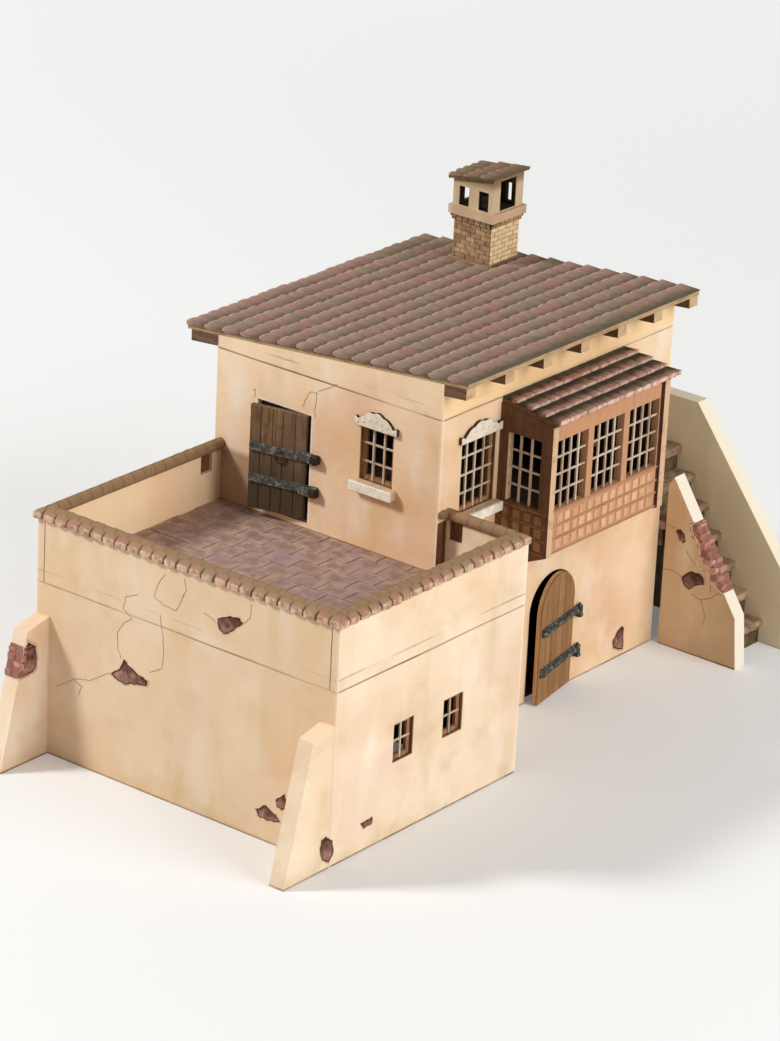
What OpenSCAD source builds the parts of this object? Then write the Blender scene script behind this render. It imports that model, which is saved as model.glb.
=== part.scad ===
// Tabletop model of a two-storey adobe house with a walled roof terrace.
// Flat boards are glued edge to edge, so most walls are plain panels.
// X runs along the front from the terrace end to the stair end, Y runs to
// the back, Z is up. The modules measure from the ground at the outer corner
// of the terrace block's front and end walls, and the last lines move them
// all so that the origin is under the middle of the house.

/* [Boards] */
// Thickness of the wall boards
wall_t = 3; // [2:0.5:4]
// Thickness of the floor boards
floor_t = 3; // [2:0.5:4]
// Thickness of the ground floor board
ground_t = 3; // [2:0.5:4]

/* [Terrace block] */
// Length of the terrace block along the front
block_l = 100; // [80:1:125]
// Depth of the whole house
house_d = 130.5; // [105:0.5:160]
// Height of the lower wall panels, up to the panel joint
storey_h = 62.5; // [56:0.5:76]
// Height of the parapet panels under their coping
parapet_h = 23; // [16:0.5:30]
// Thickness of the terrace deck
deck_t = 4; // [3:0.5:6]
// Width of a small ground floor window
small_win_w = 10.5; // [8.5:0.5:13]
// Height of a small ground floor window
small_win_h = 14; // [11:0.5:17]
// Sill height of the small windows
small_win_z = 27; // [20:0.5:34]
// Distance from the end wall to the first small window
small_win_x = 31; // [12:0.5:37]
// Distance between the small windows' left edges
small_win_pitch = 26.5; // [22:0.5:32]
// Width of the slots cut under the coping beside the main block
slot_w = 6; // [4:0.5:8]
// Distance of the slot in the return wall from the main block
slot_in = 1; // [0.5:0.1:4]
// Distance of the slot in the back parapet from the main block
slot_far = 4.7; // [1:0.1:8]
// Height of the slots
slot_h = 7; // [5:0.5:9]
// Depth of the slots into the boards
slot_deep = 1.8; // [1:0.1:2.5]

/* [Coping] */
// Overhang of the coping beyond the outer wall face
coping_out = 1.5; // [0.8:0.1:2.5]
// Overhang of the coping beyond the inner wall face
coping_in = 1.8; // [0.6:0.1:2.5]
// Height of the coping at its outer edge
coping_low = 1.6; // [1:0.1:3]
// Height of the coping at its inner edge
coping_high = 4.4; // [3:0.1:6]

/* [Buttresses] */
// Thickness of a buttress
buttress_t = 6; // [4:0.5:8]
// Reach of a buttress at the ground
buttress_foot = 23.5; // [18:0.5:30]
// Reach of a buttress at its shoulder
buttress_shoulder = 11; // [7:0.5:14]
// Height of a buttress where it meets the wall
buttress_h = 51; // [40:0.5:58]
// Fall of the buttress top from the wall to the shoulder
buttress_fall = 2.5; // [1:0.5:6]

/* [Main block] */
// Length of the main block along the front
main_l = 133; // [112:0.5:160]
// Length by which the main block's left wall stands inside the terrace
main_lap = 9.5; // [4.5:0.5:26]
// Set-back of the main block's front wall
main_y = 31.5; // [24:0.5:40]
// Height of the main wall panels, up to the upper joint
main_h = 122.5; // [118:0.5:150]

/* [Arched door] */
// Width of the arched doorway
arch_w = 26.6; // [22:0.2:30]
// Distance of the doorway from the main block's left wall
arch_x = 56.4; // [50:0.2:62]
// Height of the arch's springing line
arch_spring = 33.8; // [28:0.2:37]
// Thickness of the door leaf
leaf_t = 2; // [1.6:0.1:2.6]
// Gap round the door leaf
leaf_gap = 0.4; // [0.3:0.1:0.8]
// Angle at which the door stands ajar
ajar = 10; // [0:1:40]
// Heights of the two strap hinges
strap_z = [12.5, 28]; // [5:0.5:40]
// Height of a hinge strap
strap_h = 3; // [2:0.1:4]
// Thickness of a hinge strap
strap_t = 0.7; // [0.5:0.1:1]
// Distance by which a closed leaf stands proud of its wall
leaf_proud = 0.2; // [0.1:0.1:0.5]
// Distance of the hinge axis beyond the doorway's edge
pivot_out = 2; // [1.6:0.1:3]
// Distance of the hinge axis in front of the wall
pivot_front = 1.3; // [1.2:0.1:2]
// Diameter of the hinge pins
pin_d = 1; // [0.8:0.1:1.4]
// Running clearance between a hinge eye and its pin
pin_gap = 0.1; // [0.05:0.01:0.1]
// Height of the lug that carries a hinge pin
lug_h = 1.2; // [0.8:0.1:2]

/* [Upper doors and windows] */
// Width of the terrace doorway
door_w = 24; // [20:0.2:29]
// Height of the upper doorways above their sills
door_h = 40; // [34:0.5:43]
// Height of the upper doorways' sills above the floor
door_sill = 2.5; // [0.5:0.1:4]
// Distance of the terrace doorway from the back wall's outer face
door_back = 18.8; // [12:0.2:27]
// Gap beside the upper door leaves
upper_gap = 1; // [0.4:0.1:1.5]
// Gap under the upper door leaves
leaf_lift = 1.5; // [0.5:0.1:3]
// Angle at which the terrace door stands ajar
terrace_ajar = 12; // [0:1:40]
// Heights of the upper doors' straps above their sills
upper_strap_z = [11.5, 23]; // [5:0.1:33]
// Distance from an upper door's hinge axis to its doorway
strap_tail = 3; // [1.6:0.1:5]
// Distance of an upper strap's end from the leaf's free edge
strap_end = 0.4; // [0.3:0.1:3]
// Width of the landing doorway
landing_door_w = 22; // [18:0.5:24]
// Width of the side window
side_win_w = 14.4; // [12:0.2:17]
// Height of the side window
side_win_h = 20; // [16:0.5:24]
// Sill height of the side window
side_win_z = 92; // [84:0.5:94]
// Shift of the side window from midway between front wall and doorway
side_win_shift = -0.7; // [-6:0.1:6]
// Width of the front window
front_win_w = 19; // [15:0.2:20]
// Height of the front window
front_win_h = 26; // [21:0.5:28]
// Sill height of the front window
front_win_z = 85.5; // [80:0.5:88]
// Distance of the front window from the main left wall
front_win_x = 11.5; // [8:0.2:12]
// Width of a window frame's face
frame_w = 1.6; // [1:0.1:2]
// Thickness of a window frame
frame_t = 1.2; // [0.8:0.1:2]
// Set-back of the window frames from the wall face
frame_in = 1.6; // [1:0.1:2]
// Overhang of the sills beside a window
sill_side = 2; // [1:0.1:2.4]
// Projection of the sills
sill_out = 3.5; // [2:0.1:5]
// Height of the sills
sill_h = 3.4; // [2:0.1:5]
// Projection of the window hoods
hood_out = 1.5; // [0.8:0.1:2.5]
// Height of the window hoods
hood_h = 5; // [3.5:0.1:7]

/* [Roof] */
// Fall of the roof towards the back, in degrees
roof_pitch = 5; // [3:0.5:9]
// Thickness of the roof with its tiles
roof_t = 3; // [2:0.1:4]
// Height of the roof's upper face above the upper joint, at the front wall
roof_rise = 16.2; // [14:0.1:22]
// Overhang of the roof at the front
roof_front = 9.8; // [6:0.1:14]
// Overhang of the roof at the back
roof_back = 14; // [8:0.1:16]
// Overhang of the roof at each side
roof_side = 0.7; // [0.3:0.1:3]
// Number of rafter tails along each eave
tail_count = 7; // [5:1:9]
// Width of a rafter tail
tail_w = 5; // [3:0.1:6]
// Height of a rafter tail
tail_h = 4; // [3:0.1:4.4]
// Set-back of the rafter tails from the roof's edge
tail_in = 0.5; // [0.3:0.1:2]

/* [Chimney] */
// Width of the chimney shaft along the front
shaft_w = 16.5; // [14:0.5:19]
// Depth of the chimney shaft
shaft_d = 16.5; // [13.5:0.5:20]
// Distance of the shaft from the right wall's outer face
shaft_in = 4; // [3:0.5:23.5]
// Distance of the shaft from the back wall's outer face
shaft_back = 14.7; // [10.5:0.2:27.5]
// Height of the shaft's top above the upper joint
shaft_top = 26.5; // [22:0.5:32]
// Overhang of the collar round the shaft
collar_out = 1.8; // [1.4:0.1:3]
// Height of the collar
collar_h = 3.2; // [2:0.1:4]
// Height of the lantern at its front
lantern_h = 12.8; // [11:0.1:16]
// Overhang of the lantern beyond the shaft
lantern_out = 0.7; // [0:0.1:1.2]
// Wall thickness of the lantern
lantern_t = 2; // [1.5:0.1:2.5]
// Width of the lantern's side openings and of the pier between them
lantern_gap = 4.4; // [3.6:0.1:4.8]
// Height of the lantern's side openings
lantern_gap_h = 7.2; // [6:0.1:8.8]
// Offset of the lantern's side openings towards its front
lantern_shift = 0.4; // [0:0.1:1]
// Width of the lantern's front and back openings
lantern_door_w = 9.2; // [7.6:0.1:11]
// Height of the wall and sill above and below the lantern's front opening
lantern_over = 1.6; // [1:0.1:3]
// Overhang of the chimney cap beyond the shaft
cap_out = 2.4; // [1.8:0.1:4]
// Thickness of the chimney cap
cap_t = 2; // [1.5:0.1:3]
// Fall of the chimney cap towards the back, in degrees
cap_pitch = 9; // [5:0.5:12]

/* [Oriel] */
// Distance of the oriel from the main block's left wall
oriel_x = 32.5; // [32.5:0.1:34]
// Length of the oriel
oriel_l = 68; // [56:0.5:80]
// Projection of the oriel
oriel_d = 22.5; // [18:0.5:26]
// Height of the oriel's lower edge
oriel_z = 69.5; // [66.5:0.5:76]
// Drop of the side panels' brackets at the wall
bracket_drop = 10; // [4:0.5:14]
// Set-back of the front panel between the side panels
oriel_inset = 1; // [0.5:0.1:3]
// Height of the oriel's front windows
oriel_win_h = 25.5; // [20:0.5:27]
// Sill height of the oriel's front windows
oriel_win_z = 85.5; // [82:0.1:88]
// Height of the side windows' sills above the front windows' sills
oriel_side_up = 0.5; // [0:0.1:4]
// Width of the mullions between the front windows
mullion = 3.2; // [2:0.1:4]
// Distance from the front panel's ends to its windows
oriel_margin = 1.4; // [1:0.1:3]
// Width of the side panels' windows
oriel_side_w = 14; // [10:0.5:15]
// Distance of the side panels' windows from their front edge
oriel_side_in = 4.6; // [2:0.1:6]
// Height of the oriel roof's upper face above the upper joint, at the wall
oriel_roof_up = 1; // [0.5:0.1:3]
// Fall of the oriel roof, in degrees
oriel_pitch = 8; // [6:0.5:12]
// Thickness of the oriel roof with its tiles
oriel_roof_t = 3; // [2:0.1:4]
// Front overhang of the oriel roof
oriel_eave = 2.2; // [1.5:0.1:5]
// Overhang of the oriel roof at its right side
oriel_verge = 2.5; // [1:0.1:5]
// Set-back of the oriel roof's left end from the side panel's outer face
oriel_roof_in = 0.5; // [0:0.1:2]

/* [Stair] */
// Number of risers up to the landing
riser_count = 7; // [6:1:9]
// Run of one step
step_run = 6.85; // [5.8:0.05:8]
// Distance of the landing's edge behind the main front wall
landing_y = 10.5; // [8:0.1:14]
// Clear width between the stair walls
stair_w = 21; // [17:0.5:26]
// Thickness of the stair walls
cheek_t = 6; // [4:0.5:8]
// Thickness of a tread
tread_t = 3; // [2:0.1:3.6]
// Overhang of a tread beyond its riser
nosing = 1.6; // [0.8:0.1:2]
// Thickness of a riser
riser_t = 2; // [1.5:0.1:2.5]
// Length of the landing
landing_l = 28; // [25:0.5:34]
// Distance of the inner stair wall from the main front wall
cheek_gap = 3.2; // [2:0.1:5]
// Reach of the inner stair wall in front of the first step
cheek_reach = 6.9; // [5:0.1:11]
// Backward lean of the inner stair wall's front edge
cheek_lean = 1.8; // [0:0.1:4]
// Reach of the outer stair wall in front of the inner one
outer_reach = 4.6; // [0:0.1:6]
// Length of the bevel behind the inner stair wall's peak
cheek_bevel = 2.2; // [1:0.1:4]
// Fall of that bevel
cheek_fall = 3.4; // [1:0.1:6]
// Distance from the outer wall's upper corner to the landing
outer_lead = 5.5; // [3:0.1:8]
// Height of the inner stair wall's lower end
cheek_low = 19.6; // [16:0.1:24]
// Height of the outer stair wall's lower end
outer_low = 23.5; // [18:0.5:28]
// Height of the inner stair wall's peak
cheek_peak = 65.8; // [54:0.1:76]
// Height of the outer stair wall beside the landing
outer_peak = 84.5; // [78:0.5:96]

/* [Hidden] */
$fn = 48;
eps = 0.5;
main_x = block_l - main_lap;
main_x1 = main_x + main_l;
deck_z = storey_h + deck_t;
upper_z = deck_z;
coping_z = storey_h + parapet_h;
coping_inner = wall_t + coping_in;
return_x = block_l - coping_out - wall_t;
arch_r = arch_w / 2;
arch_left = main_x + arch_x;
arch_mid = arch_left + arch_r;
arch_right = arch_left + arch_w;
pivot = [arch_right + pivot_out, main_y - pivot_front];
eye_r = pin_d / 2 + pin_gap + strap_t * 0.75;
leaf_face = main_y - leaf_proud;
front_win_left = main_x + front_win_x;
door_y0 = house_d - door_back - door_w;
side_win_y0 = (main_y + door_y0 - side_win_w) / 2 + side_win_shift;
door_z = upper_z + door_sill;
roof_tan = tan(roof_pitch);
roof_len = main_l + 2 * roof_side;
roof_x0 = main_x - roof_side;
shaft_x0 = main_x1 - shaft_in - shaft_w;
shaft_y0 = house_d - shaft_back - shaft_d;
collar_z = main_h + shaft_top;
lantern_z = collar_z + collar_h;
cap_tan = tan(cap_pitch);
oriel_x0 = main_x + oriel_x;
oriel_x1 = oriel_x0 + oriel_l;
oriel_y0 = main_y - oriel_d;
oriel_tan = tan(oriel_pitch);
panel_w = oriel_l - 2 * wall_t;
oriel_win_w = (panel_w - 2 * oriel_margin - 2 * mullion) / 3;
oriel_win_x0 = oriel_x0 + wall_t + oriel_margin;
oriel_face = oriel_y0 + oriel_inset;
rise = upper_z / riser_count;
landing_y0 = main_y + landing_y;
landing_y1 = landing_y0 + landing_l;
step_y0 = landing_y0 - (riser_count - 1) * step_run;
cheek_y1 = main_y - cheek_gap;
cheek_x1 = main_x1 + cheek_t;
outer_x0 = cheek_x1 + stair_w;
cheek_y0 = step_y0 - cheek_reach;
outer_y0 = cheek_y0 - outer_reach;
landing_door_y0 = landing_y0 + (landing_l - wall_t - landing_door_w) / 2;
back_win_x = [main_x + 24, main_x1 - 24 - side_win_w];
back_small_x = [main_x + 26, main_x1 - 26 - small_win_w];
outer_x1 = outer_x0 + cheek_t;
home = [(buttress_foot - outer_x1) / 2,
    -(outer_y0 + house_d + roof_back) / 2, 0];

// Heights of the sloping faces at a given distance from the back or front.
function roof_top(y) = main_h + roof_rise - (y - main_y) * roof_tan;
function roof_under(y) = roof_top(y) - roof_t;
function cap_under(y) = lantern_z + lantern_h - (y - shaft_y0) * cap_tan;
function oriel_top(y) = main_h + oriel_roof_up - (main_y - y) * oriel_tan;
function oriel_under(y) = oriel_top(y) - oriel_roof_t;
function tail_x(i) = roof_x0 + tail_in
    + i * (roof_len - 2 * tail_in - tail_w) / (tail_count - 1);
function nose_y(k) = step_y0 + (k - 1) * step_run;

// A box between two opposite corners.
module box(p, q) {
    translate(p) cube(q - p);
}

// A plate standing across X: the outline's points are [y, z].
module plate_x(x, t, outline) {
    translate([x, 0, 0])
        rotate([90, 0, 90]) linear_extrude(t) polygon(outline);
}

// A rectangular ring standing in a wall that faces along Y.
module frame_y(x, y, z, w, h) {
    difference() {
        box([x, y, z], [x + w, y + frame_t, z + h]);
        box([x + frame_w, y - eps, z + frame_w],
            [x + w - frame_w, y + frame_t + eps, z + h - frame_w]);
    }
}

// A rectangular ring standing in a wall that faces along X.
module frame_x(x, y, z, w, h) {
    difference() {
        box([x, y, z], [x + frame_t, y + w, z + h]);
        box([x - eps, y + frame_w, z + frame_w],
            [x + frame_t + eps, y + w - frame_w, z + h - frame_w]);
    }
}

// A hood outline over a window: ears at both ends and a low arch between.
module hood_outline(w) {
    ear = w * 0.16;
    arc_r = (pow(w / 2 - ear, 2) + pow(hood_h * 0.6, 2)) / (hood_h * 1.2);
    square([w, hood_h * 0.4]);
    intersection() {
        translate([ear, 0]) square([w - 2 * ear, hood_h]);
        translate([w / 2, hood_h - arc_r]) circle(arc_r, $fn = 96);
    }
}

// The wedge section of a coping: low outside, high inside; x grows inwards.
module coping_section() {
    polygon([[-coping_out, 0], [coping_inner, 0],
        [coping_inner, coping_high], [-coping_out, coping_low]]);
}

module ground_floor() {
    color("tan") box([main_x + wall_t, main_y + wall_t, 0],
        [main_x1 - wall_t, house_d - wall_t, ground_t]);
}

module block_end_wall() {
    color("burlywood") box([0, 0, 0], [wall_t, house_d, storey_h]);
}

module block_front_wall() {
    color("wheat") difference() {
        box([wall_t, 0, 0], [block_l, wall_t, storey_h]);
        for (i = [0, 1])
            translate([small_win_x + i * small_win_pitch, -eps, small_win_z])
                cube([small_win_w, wall_t + 2 * eps, small_win_h]);
    }
}

module block_back_wall() {
    color("wheat") box([wall_t, house_d - wall_t, 0],
        [main_x, house_d, storey_h]);
}

module block_return_wall() {
    color("wheat") difference() {
        box([return_x, wall_t, 0], [return_x + wall_t, main_y, coping_z]);
        box([return_x - eps, main_y - slot_w - slot_in,
            coping_z - slot_h],
            [return_x + slot_deep, main_y - slot_in, coping_z + eps]);
    }
}

module parapet_end() {
    color("burlywood") box([0, 0, storey_h], [wall_t, house_d, coping_z]);
}

module parapet_front() {
    color("wheat") box([wall_t, 0, storey_h], [block_l, wall_t, coping_z]);
}

module parapet_back() {
    color("wheat") difference() {
        box([wall_t, house_d - wall_t, storey_h],
            [main_x, house_d, coping_z]);
        box([main_x - slot_far - slot_w, house_d - wall_t - eps,
            coping_z - slot_h], [main_x - slot_far,
            house_d - wall_t + slot_deep, coping_z + eps]);
    }
}

module terrace_deck() {
    color("rosybrown") {
        box([wall_t, wall_t, storey_h],
            [main_x, house_d - wall_t, deck_z]);
        box([main_x, wall_t, storey_h],
            [return_x, main_y, deck_z]);
    }
}

// Runs the slopes of the two adjoining copings across a coping's ends, so
// that the corners are mitred; the outer wall faces are span apart.
module mitre_section(span) {
    polygon([[-coping_out, 0], [span + coping_out, 0],
        [span + coping_out, coping_low],
        [span - coping_inner, coping_high],
        [coping_inner, coping_high], [-coping_out, coping_low]]);
}

module coping_end() {
    color("rosybrown") translate([0, 0, coping_z]) intersection() {
        translate([0, -coping_out, 0]) rotate([90, 0, 0])
            mirror([0, 0, 1])
                linear_extrude(house_d + 2 * coping_out)
                    coping_section();
        translate([-coping_out - eps, 0, 0]) rotate([90, 0, 90])
            linear_extrude(coping_out + coping_inner + 2 * eps)
                mitre_section(house_d);
    }
}

module coping_front() {
    color("rosybrown") translate([0, 0, coping_z]) intersection() {
        translate([coping_inner, 0, 0]) rotate([90, 0, 90])
            linear_extrude(block_l - coping_inner) coping_section();
        translate([0, -coping_out - eps, 0]) rotate([90, 0, 0])
            mirror([0, 0, 1])
                linear_extrude(coping_out + coping_inner + 2 * eps)
                    mitre_section(return_x + wall_t);
    }
}

module coping_back() {
    color("rosybrown") translate([coping_inner, house_d, coping_z])
        rotate([90, 0, 90]) mirror([1, 0, 0])
            linear_extrude(main_x - coping_inner) coping_section();
}

module coping_return() {
    color("rosybrown")
        translate([return_x + wall_t, coping_inner, coping_z])
            rotate([90, 0, 0]) mirror([1, 0, 0]) mirror([0, 0, 1])
                linear_extrude(main_y - coping_inner)
                    coping_section();
}

module buttresses() {
    outline = [[0, 0], [0, buttress_h],
        [-buttress_shoulder, buttress_h - buttress_fall],
        [-buttress_foot, 0]];
    color("burlywood")
        for (y = [buttress_t, house_d])
            translate([0, y, 0]) rotate([90, 0, 0])
                linear_extrude(buttress_t) polygon(outline);
}

module front_wall_left() {
    color("wheat") box([main_x, main_y, 0],
        [arch_left, main_y + wall_t, upper_z]);
}

module front_wall_right() {
    color("wheat") box([arch_right, main_y, 0],
        [main_x1, main_y + wall_t, upper_z]);
}

module front_wall_arch() {
    color("wheat") difference() {
        box([arch_left, main_y, arch_spring],
            [arch_right, main_y + wall_t, upper_z]);
        translate([arch_mid, main_y - eps, arch_spring]) rotate([-90, 0, 0])
            cylinder(r = arch_r, h = wall_t + 2 * eps);
    }
}

module front_wall_upper() {
    color("wheat") difference() {
        box([main_x, main_y, upper_z], [main_x1, main_y + wall_t, main_h]);
        translate([front_win_left, main_y - eps, front_win_z])
            cube([front_win_w, wall_t + 2 * eps, front_win_h]);
        box([oriel_x0 + 2 * wall_t, main_y - eps, oriel_z + wall_t],
            [oriel_x1 - 2 * wall_t, main_y + wall_t + eps,
                oriel_under(main_y) - 4]);
    }
}

module left_wall() {
    color("burlywood") difference() {
        box([main_x, main_y + wall_t, 0],
            [main_x + wall_t, house_d - wall_t, main_h]);
        translate([main_x - eps, door_y0, door_z])
            cube([wall_t + 2 * eps, door_w, door_h]);
        translate([main_x - eps, side_win_y0, side_win_z])
            cube([wall_t + 2 * eps, side_win_w, side_win_h]);
    }
}

module right_wall() {
    color("burlywood") difference() {
        box([main_x1 - wall_t, main_y + wall_t, 0],
            [main_x1, house_d - wall_t, main_h]);
        translate([main_x1 - wall_t - eps, landing_door_y0, door_z])
            cube([wall_t + 2 * eps, landing_door_w, door_h]);
    }
}

module back_wall() {
    color("wheat") difference() {
        box([main_x, house_d - wall_t, 0], [main_x1, house_d, main_h]);
        for (x = back_win_x)
            translate([x, house_d - wall_t - eps, side_win_z])
                cube([side_win_w, wall_t + 2 * eps, side_win_h]);
        for (x = back_small_x)
            translate([x, house_d - wall_t - eps, small_win_z])
                cube([small_win_w, wall_t + 2 * eps, small_win_h]);
    }
}

module wall_head() {
    inner = main_l - 2 * wall_t;
    color("wheat") difference() {
        plate_x(main_x, main_l, [[main_y, main_h], [house_d, main_h],
            [house_d, roof_under(house_d)], [main_y, roof_under(main_y)]]);
        box([main_x + wall_t, main_y + wall_t, main_h - eps],
            [main_x + wall_t + inner, house_d - wall_t,
                roof_under(main_y) + eps]);
    }
}

module upper_floor() {
    color("tan") box([main_x + wall_t, main_y + wall_t, upper_z - floor_t],
        [main_x1 - wall_t, house_d - wall_t, upper_z]);
}

module roof() {
    y0 = main_y - roof_front;
    y1 = house_d + roof_back;
    color("rosybrown") difference() {
        plate_x(roof_x0, roof_len, [[y0, roof_under(y0)],
            [y1, roof_under(y1)], [y1, roof_top(y1)], [y0, roof_top(y0)]]);
        translate([shaft_x0, shaft_y0, main_h])
            cube([shaft_w, shaft_d, shaft_top]);
    }
}

// One rafter tail from a wall face to its free end, under the roof.
module tail(x, wall, end) {
    plate_x(x, tail_w, [[wall, roof_under(wall) - tail_h],
        [end, roof_under(end) - tail_h], [end, roof_under(end)],
        [wall, roof_under(wall)]]);
}

module rafter_tails() {
    color("sienna") for (i = [0 : tail_count - 1]) {
        tail(tail_x(i), main_y, main_y - roof_front + tail_in);
        tail(tail_x(i), house_d, house_d + roof_back - 2);
    }
}

// A side panel of the oriel, with a bracket below and a window.
module oriel_side(x) {
    win_y = oriel_y0 + oriel_side_in;
    difference() {
        plate_x(x, wall_t, [[oriel_y0, oriel_z],
            [main_y, oriel_z - bracket_drop],
            [main_y, oriel_under(main_y)],
            [oriel_y0, oriel_under(oriel_y0)]]);
        translate([x - eps, win_y, oriel_win_z + oriel_side_up])
            cube([wall_t + 2 * eps, oriel_side_w,
                oriel_win_h - oriel_side_up]);
    }
}

module oriel_sides() {
    color("saddlebrown") for (x = [oriel_x0, oriel_x1 - wall_t])
        oriel_side(x);
}

module oriel_front() {
    x = oriel_x0 + wall_t;
    y1 = oriel_face + wall_t;
    color("sienna") difference() {
        plate_x(x, panel_w, [[oriel_face, oriel_z], [y1, oriel_z],
            [y1, oriel_under(y1)], [oriel_face, oriel_under(oriel_face)]]);
        for (i = [0 : 2])
            translate([oriel_win_x0 + i * (oriel_win_w + mullion),
                oriel_face - eps, oriel_win_z])
                cube([oriel_win_w, wall_t + 2 * eps, oriel_win_h]);
    }
}

module oriel_floor() {
    color("sienna") box([oriel_x0 + wall_t, oriel_face + wall_t, oriel_z],
        [oriel_x1 - wall_t, main_y, oriel_z + wall_t]);
}

module oriel_roof() {
    y0 = oriel_y0 - oriel_eave;
    color("rosybrown") plate_x(oriel_x0 + oriel_roof_in,
        oriel_l + oriel_verge - oriel_roof_in,
        [[y0, oriel_under(y0)], [main_y, oriel_under(main_y)],
            [main_y, oriel_top(main_y)], [y0, oriel_top(y0)]]);
}

module window_frames() {
    front_y = main_y + frame_in;
    back_y = house_d - frame_in - frame_t;
    color("saddlebrown") {
        for (i = [0, 1])
            frame_y(small_win_x + i * small_win_pitch, frame_in,
                small_win_z, small_win_w, small_win_h);
        frame_y(front_win_left, front_y, front_win_z, front_win_w,
            front_win_h);
        frame_x(main_x + frame_in, side_win_y0, side_win_z, side_win_w,
            side_win_h);
        for (x = back_win_x)
            frame_y(x, back_y, side_win_z, side_win_w, side_win_h);
        for (x = back_small_x)
            frame_y(x, back_y, small_win_z, small_win_w, small_win_h);
    }
}

// A sill and a hood for a window in a wall that faces +Y; the origin is the
// window's lower corner on the wall face, and both end overhangs are given.
module surround(w, h, left, right) {
    translate([-left, 0, -sill_h]) cube([left + w + right, sill_out, sill_h]);
    translate([-left, hood_out, h]) rotate([90, 0, 0])
        linear_extrude(hood_out) hood_outline(left + w + right);
}

module window_surrounds() {
    near = min(sill_side, oriel_x - front_win_x - front_win_w - 0.3);
    color("ivory") {
        translate([front_win_left + front_win_w, main_y, front_win_z])
            rotate([0, 0, 180])
                surround(front_win_w, front_win_h, near, sill_side);
        translate([main_x, side_win_y0, side_win_z]) rotate([0, 0, 90])
            surround(side_win_w, side_win_h, sill_side, sill_side);
        for (x = back_win_x)
            translate([x, house_d, side_win_z])
                surround(side_win_w, side_win_h, sill_side, sill_side);
    }
}

// Places the pieces of an upper door: its doorway starts at y = 0 and its
// wall faces -X at x = 0. The leaf stands at an angle about its hinge axis.
module upper_swing(angle) {
    translate([-pivot_front, -strap_tail, 0]) rotate([0, 0, angle])
        translate([pivot_front, strap_tail, 0]) children();
}

module upper_leaf(w, angle) {
    upper_swing(angle) translate([-leaf_proud, upper_gap, leaf_lift])
        cube([leaf_t, w - 2 * upper_gap, door_h - leaf_lift - leaf_gap]);
}

// A strap with its knuckle on a lug that stands on the wall.
module upper_strap(w, angle) {
    knuckle_r = pivot_front - leaf_proud;
    upper_swing(angle)
        translate([-leaf_proud - strap_t, -strap_tail, 0])
            cube([strap_t, strap_tail + w - upper_gap - strap_end,
                strap_h]);
    translate([-pivot_front, -strap_tail, 0])
        cylinder(r = knuckle_r, h = strap_h);
    translate([-pivot_front, -strap_tail - knuckle_r, 0])
        cube([pivot_front, 2 * knuckle_r, strap_h]);
}

module upper_doors() {
    color("dimgray") {
        translate([main_x, door_y0, door_z])
            upper_leaf(door_w, terrace_ajar);
        translate([main_x1, landing_door_y0, door_z])
            mirror([1, 0, 0]) upper_leaf(landing_door_w, 0);
    }
}

module upper_door_straps() {
    color("slategray") for (z = upper_strap_z) {
        translate([main_x, door_y0, door_z + z])
            upper_strap(door_w, terrace_ajar);
        translate([main_x1, landing_door_y0, door_z + z])
            mirror([1, 0, 0]) upper_strap(landing_door_w, 0);
    }
}

// Turns a piece of the arched door about its hinge axis.
module swing() {
    translate([pivot[0], pivot[1], 0]) rotate([0, 0, ajar])
        translate([-pivot[0], -pivot[1], 0]) children();
}

module arched_door() {
    r = arch_r - leaf_gap;
    color("peru") swing() {
        translate([arch_mid, leaf_face, 0]) {
            translate([-r, 0, leaf_gap])
                cube([2 * r, leaf_t, arch_spring - leaf_gap]);
            intersection() {
                translate([0, 0, arch_spring]) rotate([-90, 0, 0])
                    cylinder(r = r, h = leaf_t);
                translate([-r, 0, arch_spring])
                    cube([2 * r, leaf_t, r]);
            }
        }
    }
}

module arched_door_straps() {
    x0 = arch_left + leaf_gap + 0.8;
    color("slategray") swing() for (z = strap_z) difference() {
        union() {
            box([x0, leaf_face - strap_t, z - strap_h / 2],
                [pivot[0], leaf_face, z + strap_h / 2]);
            translate([pivot[0], pivot[1], z - strap_h / 2])
                cylinder(r = eye_r, h = strap_h);
        }
        translate([pivot[0], pivot[1], z - strap_h / 2 - eps])
            cylinder(d = pin_d + 2 * pin_gap, h = strap_h + 2 * eps);
    }
}

module hinge_pins() {
    color("slategray") for (z = strap_z) {
        base = z - strap_h / 2 - pin_gap - lug_h;
        translate([pivot[0], pivot[1], base])
            cylinder(d = pin_d, h = lug_h + strap_h + pin_d);
        box([pivot[0] - pin_d, pivot[1] - pin_d, base],
            [pivot[0] + pin_d, main_y, base + lug_h]);
    }
}

module chimney_shaft() {
    y1 = shaft_y0 + shaft_d;
    color("tan") plate_x(shaft_x0, shaft_w,
        [[shaft_y0, roof_under(shaft_y0)], [y1, roof_under(y1)],
            [y1, collar_z], [shaft_y0, collar_z]]);
}

module chimney_collar() {
    color("wheat") box(
        [shaft_x0 - collar_out, shaft_y0 - collar_out, collar_z],
        [shaft_x0 + shaft_w + collar_out,
            shaft_y0 + shaft_d + collar_out, lantern_z]);
}

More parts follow.
